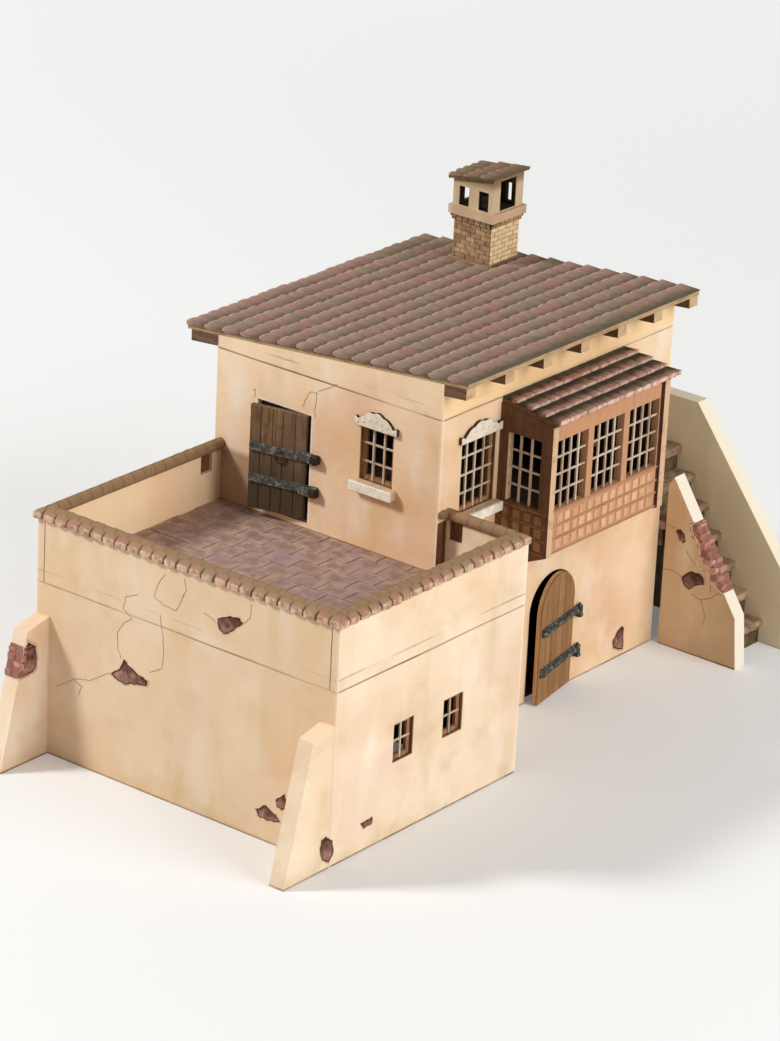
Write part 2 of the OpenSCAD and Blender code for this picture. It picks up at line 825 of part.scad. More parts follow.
module chimney_lantern() {
    x0 = shaft_x0 - lantern_out;
    y0 = shaft_y0 - lantern_out;
    w = shaft_w + 2 * lantern_out;
    d = shaft_d + 2 * lantern_out;
    sill = lantern_z + 0.4;
    color("tan") difference() {
        plate_x(x0, w, [[y0, lantern_z], [y0 + d, lantern_z],
            [y0 + d, cap_under(y0 + d)], [y0, cap_under(y0)]]);
        box([x0 + lantern_t, y0 + lantern_t, lantern_z - eps],
            [x0 + w - lantern_t, y0 + d - lantern_t,
                lantern_z + lantern_h + eps]);
        translate([x0 + (w - lantern_door_w) / 2, y0 - eps, sill])
            cube([lantern_door_w, lantern_t + 2 * eps,
                lantern_h - lantern_over]);
        translate([x0 + (w - lantern_door_w) / 2,
            y0 + d - lantern_t - eps, sill])
            cube([lantern_door_w, lantern_t + 2 * eps, lantern_gap_h]);
        for (s = [-1.5, 0.5])
            translate([x0 - eps, y0 + d / 2 + s * lantern_gap
                - lantern_shift, sill])
                cube([w + 2 * eps, lantern_gap, lantern_gap_h]);
    }
}

module chimney_cap() {
    y0 = shaft_y0 - cap_out;
    y1 = shaft_y0 + shaft_d + cap_out;
    color("rosybrown") plate_x(shaft_x0 - cap_out, shaft_w + 2 * cap_out,
        [[y0, cap_under(y0)], [y1, cap_under(y1)],
            [y1, cap_under(y1) + cap_t], [y0, cap_under(y0) + cap_t]]);
}

module stair_walls() {
    color("burlywood") {
        plate_x(main_x1, cheek_t, [[cheek_y0, 0], [cheek_y1, 0],
            [cheek_y1, cheek_peak - cheek_fall],
            [cheek_y1 - cheek_bevel, cheek_peak],
            [cheek_y0 + cheek_lean, cheek_low]]);
        plate_x(outer_x0, cheek_t, [[outer_y0, 0], [landing_y1, 0],
            [landing_y1, outer_peak], [landing_y0 - outer_lead, outer_peak],
            [outer_y0, outer_low]]);
    }
}

// Left edge of a step: against the inner wall, or the house behind it.
function step_x0(y) = y < cheek_y1 - 0.1 ? cheek_x1 : main_x1;

module stair_treads() {
    color("gray") for (k = [1 : riser_count - 1]) {
        y0 = nose_y(k);
        y1 = nose_y(k + 1) + nosing + riser_t;
        box([step_x0(y0), y0, k * rise - tread_t],
            [outer_x0, y1, k * rise]);
    }
}

module stair_risers() {
    color("dimgray") for (k = [1 : riser_count]) {
        y0 = nose_y(k) + nosing;
        box([step_x0(y0), y0, (k - 1) * rise],
            [outer_x0, y0 + riser_t, k * rise - tread_t]);
    }
}

module stair_landing() {
    color("gray") box([main_x1, landing_y0, upper_z - tread_t],
        [outer_x0, landing_y1 - wall_t, upper_z]);
}

module landing_wall() {
    color("burlywood") box([main_x1, landing_y1 - wall_t, 0],
        [outer_x0, landing_y1, outer_peak]);
}

translate(home) {
    ground_floor();
    block_end_wall();
    block_front_wall();
    block_back_wall();
    block_return_wall();
    parapet_end();
    parapet_front();
    parapet_back();
    terrace_deck();
    coping_end();
    coping_front();
    coping_back();
    coping_return();
    buttresses();
    front_wall_left();
    front_wall_right();
    front_wall_arch();
    front_wall_upper();
    left_wall();
    right_wall();
    back_wall();
    wall_head();
    upper_floor();
    roof();
    rafter_tails();
    oriel_sides();
    oriel_front();
    oriel_floor();
    oriel_roof();
    window_frames();
    window_surrounds();
    upper_doors();
    upper_door_straps();
    arched_door();
    arched_door_straps();
    hinge_pins();
    chimney_shaft();
    chimney_collar();
    chimney_lantern();
    chimney_cap();
    stair_walls();
    stair_treads();
    stair_risers();
    stair_landing();
    landing_wall();
}
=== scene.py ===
"""Finishes and fine detail for a tabletop model of an adobe house.

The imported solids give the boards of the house. This script paints them and
adds what is too fine for boards: barrel tiles, coping tiles, window bars,
planks, nails, paving, bricks, worn steps and small damage. All sizes are in
millimetres, measured from the ground at the outer corner of the terrace
block's end and front walls: X to the right, Y to the back, Z up.
"""
import logging
import math
from dataclasses import dataclass, field
from enum import Enum
from typing import Callable, Iterable, Optional, Sequence

import bmesh
import bpy
import numpy as np
from mathutils import Matrix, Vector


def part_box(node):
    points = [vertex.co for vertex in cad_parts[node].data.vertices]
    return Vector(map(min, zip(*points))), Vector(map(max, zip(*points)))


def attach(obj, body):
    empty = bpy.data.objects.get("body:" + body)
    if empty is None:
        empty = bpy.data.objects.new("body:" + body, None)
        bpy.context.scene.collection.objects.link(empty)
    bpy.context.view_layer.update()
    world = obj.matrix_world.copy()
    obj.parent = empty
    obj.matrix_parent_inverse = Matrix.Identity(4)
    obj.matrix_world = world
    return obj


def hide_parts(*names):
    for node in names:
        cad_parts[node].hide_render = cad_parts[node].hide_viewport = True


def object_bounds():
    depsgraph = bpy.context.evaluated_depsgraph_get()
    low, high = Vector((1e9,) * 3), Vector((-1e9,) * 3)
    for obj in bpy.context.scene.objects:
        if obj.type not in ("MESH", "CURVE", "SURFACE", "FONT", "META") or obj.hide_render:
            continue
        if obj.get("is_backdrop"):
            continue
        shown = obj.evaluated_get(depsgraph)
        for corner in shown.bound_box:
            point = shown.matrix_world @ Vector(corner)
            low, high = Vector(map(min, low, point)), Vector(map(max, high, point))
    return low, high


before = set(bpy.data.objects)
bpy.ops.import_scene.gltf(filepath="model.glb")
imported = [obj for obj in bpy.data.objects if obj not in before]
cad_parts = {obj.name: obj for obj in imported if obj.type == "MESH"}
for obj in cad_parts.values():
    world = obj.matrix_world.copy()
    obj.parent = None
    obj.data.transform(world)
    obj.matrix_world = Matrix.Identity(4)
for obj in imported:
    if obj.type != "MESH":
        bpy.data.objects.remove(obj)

log = logging.getLogger("adobe_house")
MM = 0.001
CORNER = np.array(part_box("block_end_wall")[0]) / MM
FAR = 999.0
BOX_FACES = np.array([[0, 1, 3, 2], [4, 6, 7, 5], [0, 4, 5, 1],
                      [2, 3, 7, 6], [0, 2, 6, 4], [1, 5, 7, 3]])

Pair = tuple[float, float]
Triple = tuple[float, float, float]
Numbers = float | np.ndarray
Socket = bpy.types.NodeSocket
Material = bpy.types.Material
Random = np.random.Generator


class Body(Enum):
    """The two bodies that a piece can ride on."""

    HOUSE = "house"
    LEAF = "door_leaf"


class Facing(Enum):
    """The axis that a wall's face looks along."""

    X = 0
    Y = 1


def corners(node: str) -> np.ndarray:
    """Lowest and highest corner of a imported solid's box."""
    return np.array(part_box(node)) / MM - CORNER


class Plan:
    """Places in the house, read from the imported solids' boxes."""

    BLOCK = corners("block_front_wall")[1][0]
    DEPTH = corners("block_end_wall")[1][1]
    COPING_Z = corners("parapet_front")[1][2]
    DECK_Z = corners("terrace_deck")[1][2]
    LEFT = corners("left_wall")[0][0]
    RIGHT = corners("right_wall")[1][0]
    FRONT = corners("front_wall_left")[0][1]
    EAVE_Z = corners("left_wall")[1][2]
    ROOF = corners("roof")
    ROOF_FALL = 5.0
    ORIEL = corners("oriel_sides")
    ORIEL_FACE = corners("oriel_front")[0][1]
    ORIEL_ROOF = corners("oriel_roof")
    SHAFT = corners("chimney_shaft")
    LANTERN = corners("chimney_lantern")
    CAP = corners("chimney_cap")
    WALL = 3.0
    BUTTRESS = 6.0


def roof_top(y: float) -> float:
    """Height of the main roof's upper face, which falls to the back."""
    fall = math.tan(math.radians(Plan.ROOF_FALL))
    return Plan.ROOF[1][2] - (y - Plan.ROOF[0][1]) * fall


# ---- shapes


def spots(facing: Facing, across: Numbers, along: Numbers, z: Numbers) -> np.ndarray:
    """Places at a wall.

    Args:
        facing: The axis that the wall's face looks along.
        across: Places on that axis.
        along: Places on the other level axis.
        z: Heights.

    Returns:
        A row of X, Y and Z for each place.
    """
    across, along, z = np.broadcast_arrays(across, along, z)
    return np.stack([across, along, z] if facing is Facing.X else [along, across, z], -1)


def grid_faces(rows: int, cols: int) -> np.ndarray:
    """Quads of a grid of points stored row by row."""
    corner = np.arange(rows - 1)[:, None] * cols + np.arange(cols - 1)[None, :]
    return corner.reshape(-1, 1) + np.array([0, 1, cols + 1, cols])


@dataclass
class Shape:
    """Collects the faces of one piece before it becomes a mesh.

    Each point carries three marks: two that place a pattern on the surface
    and a tone between 0 and 1 that varies from tile to tile.
    """

    points: list = field(default_factory=list)
    marks: list = field(default_factory=list)
    faces: list = field(default_factory=list)
    count: int = 0

    def add(self, points: np.ndarray, faces: Iterable,
            marks: Optional[np.ndarray] = None) -> None:
        """Adds a patch of faces.

        Args:
            points: The patch's points, one row each.
            faces: Point numbers of each face, counted within the patch.
            marks: Two pattern places and a tone for each point.
        """
        flat = np.asarray(points, float).reshape(-1, 3)
        marks = np.zeros(flat.shape) if marks is None else np.asarray(marks, float)
        self.points.append(flat)
        self.marks.append(marks.reshape(-1, 3))
        if isinstance(faces, np.ndarray):
            faces = faces.tolist()
        self.faces += [[p + self.count for p in face] for face in faces]
        self.count += len(flat)

    def join(self, other: "Shape") -> None:
        """Adds all the faces of another shape."""
        self.add(np.concatenate(other.points), other.faces, np.concatenate(other.marks))

    def boxes(self, one: Sequence, other: Sequence, tones: Numbers = 0.0) -> "Shape":
        """Adds boxes.

        Corner 4a + 2b + c of a box takes its X, Y and Z from the high
        corner where a, b and c are 1, and from the low one where they are 0.

        Args:
            one: A corner of each box, one row each.
            other: The opposite corner of each box.
            tones: The boxes' tones.

        Returns:
            The shape itself.
        """
        ends = np.stack([np.asarray(c, float).reshape(-1, 3) for c in (one, other)])
        low, high = ends.min(0), ends.max(0)
        pick = np.array([[a, b, c] for a in (0, 1) for b in (0, 1) for c in (0, 1)])
        marks = np.zeros((len(low), 8, 3))
        marks[..., :2] = pick[:, :2]
        marks[..., 2] = np.broadcast_to(tones, len(low))[:, None]
        faces = (np.arange(len(low))[:, None, None] * 8 + BOX_FACES).reshape(-1, 4)
        self.add(np.where(pick[None], high[:, None], low[:, None]), faces, marks)
        return self

    def slab(self, top: np.ndarray, bottom: np.ndarray, marks: np.ndarray) -> None:
        """Adds a closed slab between two grids of points.

        Args:
            top: Grid of points, rows by columns by three.
            bottom: Grid of the same size under it.
            marks: Grid of marks, used for both faces.
        """
        rows, cols = top.shape[:2]
        size = rows * cols
        quads = grid_faces(rows, cols)
        number = np.arange(size).reshape(rows, cols)
        rim = np.concatenate([number[0, :-1], number[:-1, -1],
                              number[-1, :0:-1], number[:0:-1, 0]])
        after = np.roll(rim, -1)
        wall = np.stack([rim, rim + size, after + size, after], -1)
        self.add(np.concatenate([top, bottom]),
                 np.concatenate([quads, quads[:, ::-1] + size, wall]),
                 np.concatenate([marks, marks]))

    def plate(self, facing: Facing, ends: Pair, outline: Sequence[Pair],
              tone: float = 0.0) -> "Shape":
        """Adds a flat plate with a given outline.

        Args:
            facing: The axis across the plate.
            ends: Places of its two faces on that axis.
            outline: Corners as (along, z).
            tone: The plate's tone.

        Returns:
            The shape itself.
        """
        flat = np.asarray(outline, float)
        count = len(flat)
        ring = np.arange(count)
        after = np.roll(ring, -1)
        wall = np.stack([ring, after, after + count, ring + count], -1)
        marks = np.zeros((2 * count, 3))
        marks[:, 2] = tone
        self.add(np.concatenate([spots(facing, at, *flat.T) for at in sorted(ends)]),
                 [list(ring[::-1]), list(ring + count)] + wall.tolist(), marks)
        return self

    def board(self, span: Pair, first: Pair, last: Pair, deep: Pair) -> "Shape":
        """Adds a sloping board that runs along X.

        Args:
            span: Its ends along X.
            first: (y, z) of one edge of the slope.
            last: (y, z) of the other edge.
            deep: How far its lower and its upper face lie below the slope.

        Returns:
            The shape itself.
        """
        (y0, z0), (y1, z1), (low, high) = first, last, deep
        return self.plate(Facing.X, span, [(y0, z0 - low), (y1, z1 - low),
                                           (y1, z1 - high), (y0, z0 - high)])

    def tube(self, path: np.ndarray, radius: float, side: Sequence[float],
             sides: int = 10, loop: bool = False) -> None:
        """Adds a round tube along a path.

        A point is the path's point plus the radius times the cosine of its
        angle along the side direction and the sine along the direction
        square to both the path and the side direction.

        Args:
            path: Points of the path.
            radius: Radius of the tube.
            side: A direction square to the path all along it.
            sides: Number of points round the tube.
            loop: Whether the path's ends meet.
        """
        run = (np.roll(path, -1, 0) - np.roll(path, 1, 0) if loop
               else np.gradient(path, axis=0))
        run /= np.linalg.norm(run, axis=1)[:, None]
        side = np.asarray(side, float)
        up = np.cross(run, side)
        angle = np.linspace(0, 2 * math.pi, sides, endpoint=False)
        ring = (side * np.cos(angle)[:, None])[None] + up[:, None] * np.sin(angle)[None, :, None]
        self.sweep(path[:, None] + ring * radius, None, loop)

    def sweep(self, rings: np.ndarray, marks: Optional[np.ndarray] = None,
              loop: bool = False) -> None:
        """Adds the skin over a row of closed rings of points.

        Args:
            rings: Rings by points in a ring by three.
            marks: Marks of each point, or nothing for zeros.
            loop: Whether the last ring joins the first.
        """
        rows, sides = rings.shape[:2]
        first = np.arange(rows if loop else rows - 1)[:, None] * sides
        step = np.arange(sides)[None]
        after = (first + sides) % (rows * sides)
        turn = (step + 1) % sides
        faces = np.stack([first + step, first + turn, after + turn, after + step], -1)
        faces = faces.reshape(-1, 4).tolist()
        if not loop:
            faces += [list(range(sides))[::-1], list(range((rows - 1) * sides, rows * sides))]
        self.add(rings, faces, marks)

    def domes(self, centres: Sequence, radius: float, facing: Facing, outward: float,
              height: float = 0.5) -> None:
        """Adds low round nail heads on a flat face.

        A head is three rings of eight points and a pole: the ring's radius
        falls as the cosine and its height grows as the sine of 0, 35 and
        65 degrees.

        Args:
            centres: Centres of the heads on the face.
            radius: Radius of a head.
            facing: The axis across the face.
            outward: 1 or -1, the side that the heads stand on.
            height: Height of a head as a part of its radius.
        """
        rise = np.radians([0.0, 35.0, 65.0])[:, None]
        angle = np.linspace(0, 2 * math.pi, 8, endpoint=False)
        rings = spots(facing, np.sin(rise) * outward * height,
                      np.cos(rise) * np.cos(angle), np.cos(rise) * np.sin(angle))
        pole = spots(facing, outward * height, 0.0, 0.0)
        head = np.concatenate([rings.reshape(-1, 3), pole[None]]) * radius
        pairs = [(a, (a + 1) % 8) for a in range(8)]
        faces = [[r * 8 + a, r * 8 + b, r * 8 + 8 + b, r * 8 + 8 + a]
                 for r in (0, 1) for a, b in pairs]
        faces += [[16 + a, 16 + b, 24] for a, b in pairs] + [list(range(8))[::-1]]
        for centre in np.asarray(centres, float).reshape(-1, 3):
            self.add(head + centre, faces)

    def turn(self, pivot: Pair, degrees: float) -> "Shape":
        """Turns all points about an upright axis.

        Args:
            pivot: The axis's X and Y.
            degrees: The turn, seen from above and against the clock.

        Returns:
            The shape itself.
        """
        sin, cos = math.sin(math.radians(degrees)), math.cos(math.radians(degrees))
        for block in self.points:
            block[:, :2] = (block[:, :2] - pivot) @ np.array([[cos, sin], [-sin, cos]]) + pivot
        return self

    def piece(self, name: str, finish: "Finish", slot: str, body: Body = Body.HOUSE,
              replaces: Sequence[str] = (), smooth: float = 0.0, bevel: float = 0.0) -> None:
        """Makes the mesh and its object, which stays at the origin.

        Args:
            name: The piece's name.
            finish: What it is painted with.
            slot: The record's material slot; not used.
            body: The body that it rides on.
            replaces: Solids that it stands for.
            smooth: Faces that meet at less than this angle are shaded
                round, in degrees.
            bevel: Width of the bevel along sharp edges.
        """
        mesh = bpy.data.meshes.new(name)
        points = (np.concatenate(self.points) + CORNER) * MM
        marks = np.concatenate(self.marks).astype(np.float32)
        mesh.from_pydata(points.tolist(), [], self.faces)
        tone = mesh.attributes.new("tone", "FLOAT", "POINT")
        tone.data.foreach_set("value", marks[:, 2].copy())
        layer = mesh.uv_layers.new(name="UVMap")
        corner = np.zeros(len(mesh.loops), np.int32)
        mesh.loops.foreach_get("vertex_index", corner)
        layer.data.foreach_set("uv", marks[corner, :2].ravel())
        work = bmesh.new()
        work.from_mesh(mesh)
        bmesh.ops.dissolve_degenerate(work, dist=2e-6, edges=work.edges)
        bmesh.ops.recalc_face_normals(work, faces=work.faces)
        work.to_mesh(mesh)
        work.free()
        made = bpy.data.objects.new(name, mesh)
        bpy.context.scene.collection.objects.link(made)
        if smooth:
            mesh.shade_smooth()
            mesh.set_sharp_from_angle(angle=math.radians(smooth))
        if bevel:
            edge = made.modifiers.new("edge", "BEVEL")
            edge.width = bevel * MM
            edge.segments = 1
            edge.limit_method = "ANGLE"
            edge.angle_limit = math.radians(50)
        mesh.materials.append(finish.material())
        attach(made, body.value)
        if replaces:
            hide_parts(*replaces)
        log.info("%s: %d faces", name, len(mesh.polygons))


# ---- finishes


def linear(colour: Triple) -> Triple:
    """Turns a colour of 0 to 255 parts into linear light.

    A part c/255 above 0.04045 becomes ((c/255 + 0.055) / 1.055) to the
    power 2.4, and a smaller one is divided by 12.92.

    Args:
        colour: Red, green and blue from 0 to 255.

    Returns:
        Red, green and blue from 0 to 1.
    """
    part = np.asarray(colour, float) / 255
    bright = ((part + 0.055) / 1.055) ** 2.4
    return tuple(np.where(part > 0.04045, bright, part / 12.92).tolist())


@dataclass(frozen=True)
class StainOrPaintedLight:
    """A box of places in which a finish takes another colour: mostly painted light or painted
    shade, in a few places partly dirt.
    """

    low: Triple
    high: Triple
    # The default dark is painted shade for the insides of the house.
    colour: Triple = (58, 42, 31)
    soft: float = 0.02
    part: float = 1.0


Colour = Triple | Socket
Value = float | Socket


class Graph:
    """A material's nodes, with places measured in millimetres."""

    def __init__(self, name: str) -> None:
        """Starts an empty material with one shader.

        Args:
            name: The material's name.
        """
        self.material = bpy.data.materials.new(name)
        self.material.use_nodes = True
        self.tree = self.material.node_tree
        self.tree.nodes.clear()
        self.shader = self.node("BsdfPrincipled")
        self.link(self.shader.outputs[0], self.node("OutputMaterial").inputs["Surface"])
        source = self.node("TexCoord")
        place = self.node("Mapping")
        place.inputs["Scale"].default_value = (1 / MM,) * 3
        place.inputs["Location"].default_value = tuple(-CORNER)
        self.link(source.outputs["Object"], place.inputs["Vector"])
        self.place = place.outputs["Vector"]
        self.pattern = source.outputs["UV"]

    def node(self, kind: str) -> bpy.types.Node:
        """Adds a node of a kind."""
        return self.tree.nodes.new("ShaderNode" + kind)

    def link(self, source: Socket, target: Socket) -> None:
        """Joins two sockets."""
        self.tree.links.new(source, target)

    def put(self, value: Colour | Value, socket: Socket) -> None:
        """Links a socket's value, or sets a plain one.

        Args:
            value: A socket, a number or a colour of 0 to 255.
            socket: The input that takes it.
        """
        if isinstance(value, Socket):
            self.link(value, socket)
        elif isinstance(value, tuple):
            socket.default_value = (*linear(value), 1.0)
        else:
            socket.default_value = value

    def noise(self, size: float | Triple, shift: float = 0.0, detail: float = 3.0,
              warp: float = 0.0) -> Socket:
        """Soft noise between 0 and 1.

        Args:
            size: Size of its patches, or the size along each axis.
            shift: Moves the pattern, so that two noises differ.
            detail: Number of finer layers.
            warp: Distortion of the patches.

        Returns:
            The noise's value.
        """
        place = self.node("Mapping")
        stretch = size if isinstance(size, tuple) else (size,) * 3
        place.inputs["Scale"].default_value = tuple(1 / s for s in stretch)
        place.inputs["Location"].default_value = (shift,) * 3
        self.link(self.place, place.inputs["Vector"])
        node = self.node("TexNoise")
        for key, number in (("Scale", 1.0), ("Detail", detail), ("Distortion", warp)):
            node.inputs[key].default_value = number
        self.link(place.outputs["Vector"], node.inputs["Vector"])
        return node.outputs["Fac"]

    def level(self, value: Socket, low: float, high: float, start: float = 0.0,
              end: float = 1.0) -> Socket:
        """Maps one range of a value to another, held at both ends.

        Args:
            value: The value.
            low: The value that gives the start.
            high: The value that gives the end.
            start: What low becomes.
            end: What high becomes.

        Returns:
            The mapped value.
        """
        node = self.node("MapRange")
        node.clamp = True
        for key, number in zip(("From Min", "From Max", "To Min", "To Max"),
                               (low, high, start, end)):
            node.inputs[key].default_value = number
        self.link(value, node.inputs["Value"])
        return node.outputs["Result"]

    def sum(self, kind: str, first: Value, second: Value = 0.0) -> Socket:
        """One step of arithmetic on two values.

        Args:
            kind: The operation of a math node.
            first: The first value.
            second: The second value, where the operation has one.

        Returns:
            The result.
        """
        node = self.node("Math")
        node.operation = kind
        self.put(first, node.inputs[0])
        self.put(second, node.inputs[1])
        return node.outputs[0]

    def times(self, first: Value, second: Value) -> Socket:
        """The product of two values."""
        return self.sum("MULTIPLY", first, second)

    def blend(self, first: Socket, second: Socket, parts: Pair) -> Socket:
        """A weighted sum of two values."""
        return self.sum("ADD", self.times(first, parts[0]), self.times(second, parts[1]))

    def gap(self, value: Socket, middle: float) -> Socket:
        """How far a value is from a middle."""
        return self.sum("ABSOLUTE", self.sum("SUBTRACT", value, middle))

    def mix(self, first: Colour, second: Colour, part: Value) -> Socket:
        """Mixes a part of the second colour into the first.

        Args:
            first: The colour where the part is 0.
            second: The colour where it is 1.
            part: The second colour's part.

        Returns:
            The mixed colour.
        """
        node = self.node("Mix")
        node.data_type = "RGBA"
        self.put(part, node.inputs["Factor"])
        self.put(first, node.inputs[6])
        self.put(second, node.inputs[7])
        return node.outputs[2]

    def tint(self, first: Colour, second: Colour, value: Socket, low: float, high: float,
             most: float = 1.0) -> Socket:
        """Mixes in a second colour, from none at low to the most at high."""
        return self.mix(first, second, self.level(value, low, high, 0.0, most))

    def axes(self, source: Optional[Socket] = None) -> tuple[Socket, ...]:
        """Takes coordinates apart.

        Args:
            source: The coordinates, or nothing for the place.

        Returns:
            Their three parts.
        """
        node = self.node("SeparateXYZ")
        self.link(source or self.place, node.inputs[0])
        return tuple(node.outputs)

    def tone(self) -> Socket:
        """Reads the tone that is stored on a piece's points.

        Returns:
            The tone.
        """
        node = self.node("Attribute")
        node.attribute_name = "tone"
        return node.outputs["Fac"]

    def toned(self, colour: Colour, light: Triple, dark: Triple, most: Pair) -> Socket:
        """Lightens tones above a half and darkens those below it."""
        colour = self.tint(colour, light, self.tone(), 0.5, 1.0, most[0])
        return self.tint(colour, dark, self.tone(), 0.5, 0.0, most[1])

    def with_stains_and_painted_light(self, colour: Colour, stains_and_painted_light: Sequence[StainOrPaintedLight]) -> Colour:
        """Paints boxes of painted light, painted shade and stains over a colour.

        A box's part is the product, over the three axes, of a rise from
        0 to 1 at its low corner and a fall to 0 at its high corner.

        Args:
            colour: The colour under the boxes.
            stains_and_painted_light: The boxes of painted light, painted shade
                and stains, the last one on top.

        Returns:
            The colour with the boxes painted on.
        """
        for overpaint in stains_and_painted_light:
            part = None
            for axis, a, b in zip(self.axes(), overpaint.low, overpaint.high):
                for edge, start, end in ((a, 0.0, 1.0), (b, 1.0, 0.0)):
                    side = self.level(axis, edge - overpaint.soft, edge + overpaint.soft, start, end)
                    part = side if part is None else self.times(part, side)
            colour = self.mix(colour, overpaint.colour, self.times(part, overpaint.part))
        return colour

    def looking(self, axis: int) -> Socket:
        """How squarely a face looks along an axis, from 0 to 1."""
        return self.sum("ABSOLUTE", self.axes(self.node("TexCoord").outputs["Normal"])[axis])

    def finish(self, colour: Colour, rough: Value, height: Optional[Socket] = None,
               depth: float = 0.2) -> Material:
        """Joins colour, roughness and relief to the shader.

        Args:
            colour: The surface's colour.
            rough: Its roughness.
            height: Relief between 0 and 1.
            depth: Depth of the relief in millimetres.

        Returns:
            The finished material.
        """
        self.put(colour, self.shader.inputs["Base Color"])
        self.put(rough, self.shader.inputs["Roughness"])
        self.shader.inputs["Specular IOR Level"].default_value = 0.3
        if height is not None:
            bump = self.node("Bump")
            bump.inputs["Distance"].default_value = depth * MM
            bump.inputs["Strength"].default_value = 1.0
            self.link(height, bump.inputs["Height"])
            self.link(bump.outputs[0], self.shader.inputs["Normal"])
        return self.material


@dataclass(frozen=True)
class Finish:
    """A paint or bare surface; each kind paints in its own way."""

    name: str

    def material(self) -> Material:
        """The finish's material, made once and then shared."""
        return bpy.data.materials.get(self.name) or self.paint()

    def paint(self) -> Material:
        """Builds the material's nodes."""
        raise NotImplementedError


@dataclass(frozen=True)
class Plaster(Finish):
    """Matt plaster paint in cream and peach patches with drawn seams.

    Upright corners, given as (x, y), are paler, partly worn and partly a painted
    highlight; a foot gets a thin dark line, partly dirt and partly painted shade
    where the wall meets the ground; and a share of pale paint on the faces that
    don't look along X, the boards' tops and cut edges, is a painted highlight.
    """

    light: Triple
    warm: Triple = (238, 203, 164)
    rosy: Triple = (240, 208, 182)
    olive: Triple = (220, 200, 150)
    pale: Triple = (253, 240, 220)
    dirt: Triple = (198, 168, 122)
    speck: Triple = (204, 168, 130)
    cloud: Triple = (214, 178, 134)
    edge: Triple = (255, 244, 224)
    seam: Triple = (116, 88, 62)
    seams: tuple[float, ...] = ()
    faint_seams: tuple[float, ...] = ()
    corners: tuple[Pair, ...] = ()
    foot: bool = True
    stains_and_painted_light: tuple[StainOrPaintedLight, ...] = ()
    edge_light: float = 0.0

    def paint(self) -> Material:
        """Builds the plaster's patches, runs of dirt, seams, wear, painted highlights and
        painted shade.

        Returns:
            The material.
        """
        g = Graph(self.name)
        x, y, z = g.axes()
        mottle = g.noise(2.6, 0.4, 4)
        colour = g.tint(self.light, self.warm, g.noise(38, 3.1, 2, warp=0.4), 0.42, 0.7)
        colour = g.tint(colour, self.rosy, g.noise(30, 7.7, 2), 0.48, 0.7, 0.8)
        colour = g.tint(colour, self.olive, g.noise((9, 9, 60), 1.3, 2), 0.56, 0.76, 0.5)
        colour = g.tint(colour, self.pale, g.noise((13, 13, 34), 5.1, 3), 0.54, 0.76, 0.6)
        colour = g.mix(colour, self.dirt, g.times(
            g.level(z, 0.0, 9.0, 1.0, 0.0), g.level(g.noise(7, 2.2), 0.4, 0.7, 0, 0.4)))
        colour = g.tint(colour, self.speck, mottle, 0.6, 0.8, 0.12)
        colour = g.tint(colour, self.cloud, g.noise((16, 16, 11), 9.3, 3, warp=0.3),
                        0.54, 0.72, 0.3)
        dark = g.times(0.0, z)
        # A thin dark line at the ground: partly dirt, partly painted shade where the wall meets
        # it.
        if self.foot:
            line = g.level(g.gap(z, 0.0), 0.35, 0.75, 1.0, 0.0)
            extent = g.level(g.noise(14, 6.5, 3), 0.3, 0.6, 0.45, 0.9)
            dark = g.sum("MAXIMUM", dark, g.times(line, extent))
        for number, height in enumerate(self.seams + self.faint_seams):
            clear = number < len(self.seams)
            low, least, most = (0.34, 0.3, 0.95) if clear else (0.5, 0.0, 0.5)
            level = g.sum("ADD", z, g.times(g.noise(30, 2.0 + number, 1), 0.5))
            line = g.level(g.gap(level, height + 0.25), 0.168, 0.42, 1.0, 0.0)
            extent = g.level(g.noise(30, 5.5 + number, 3), low, 0.66, least, most)
            dark = g.sum("MAXIMUM", dark, g.times(line, extent))
        colour = g.mix(colour, self.seam, dark)
        # Paler near upright corners: partly wear, partly painted highlight.
        for a, b in self.corners:
            away = g.sum("MAXIMUM", g.gap(x, a), g.gap(y, b))
            extent = g.level(g.sum("ADD", away, mottle), 0.8, 1.6, 0.45, 0)
            colour = g.mix(colour, self.edge, extent)
        # Faces that don't look along X are painted paler: a painted highlight on tops and cut
        # edges.
        if self.edge_light:
            cut = g.level(g.looking(Facing.X.value), 0.3, 0.6, self.edge_light, 0.0)
            colour = g.mix(colour, self.edge, cut)
        # Boxes of painted light and painted shade, and a few stains.
        colour = g.with_stains_and_painted_light(colour, self.stains_and_painted_light)
        height = g.sum("SUBTRACT", g.blend(mottle, g.noise(0.9, 1.0, 3), (0.8, 0.35)),
                       g.times(dark, 0.9))
        return g.finish(colour, g.level(mottle, 0.3, 0.7, 0.78, 0.93), height, 0.16)


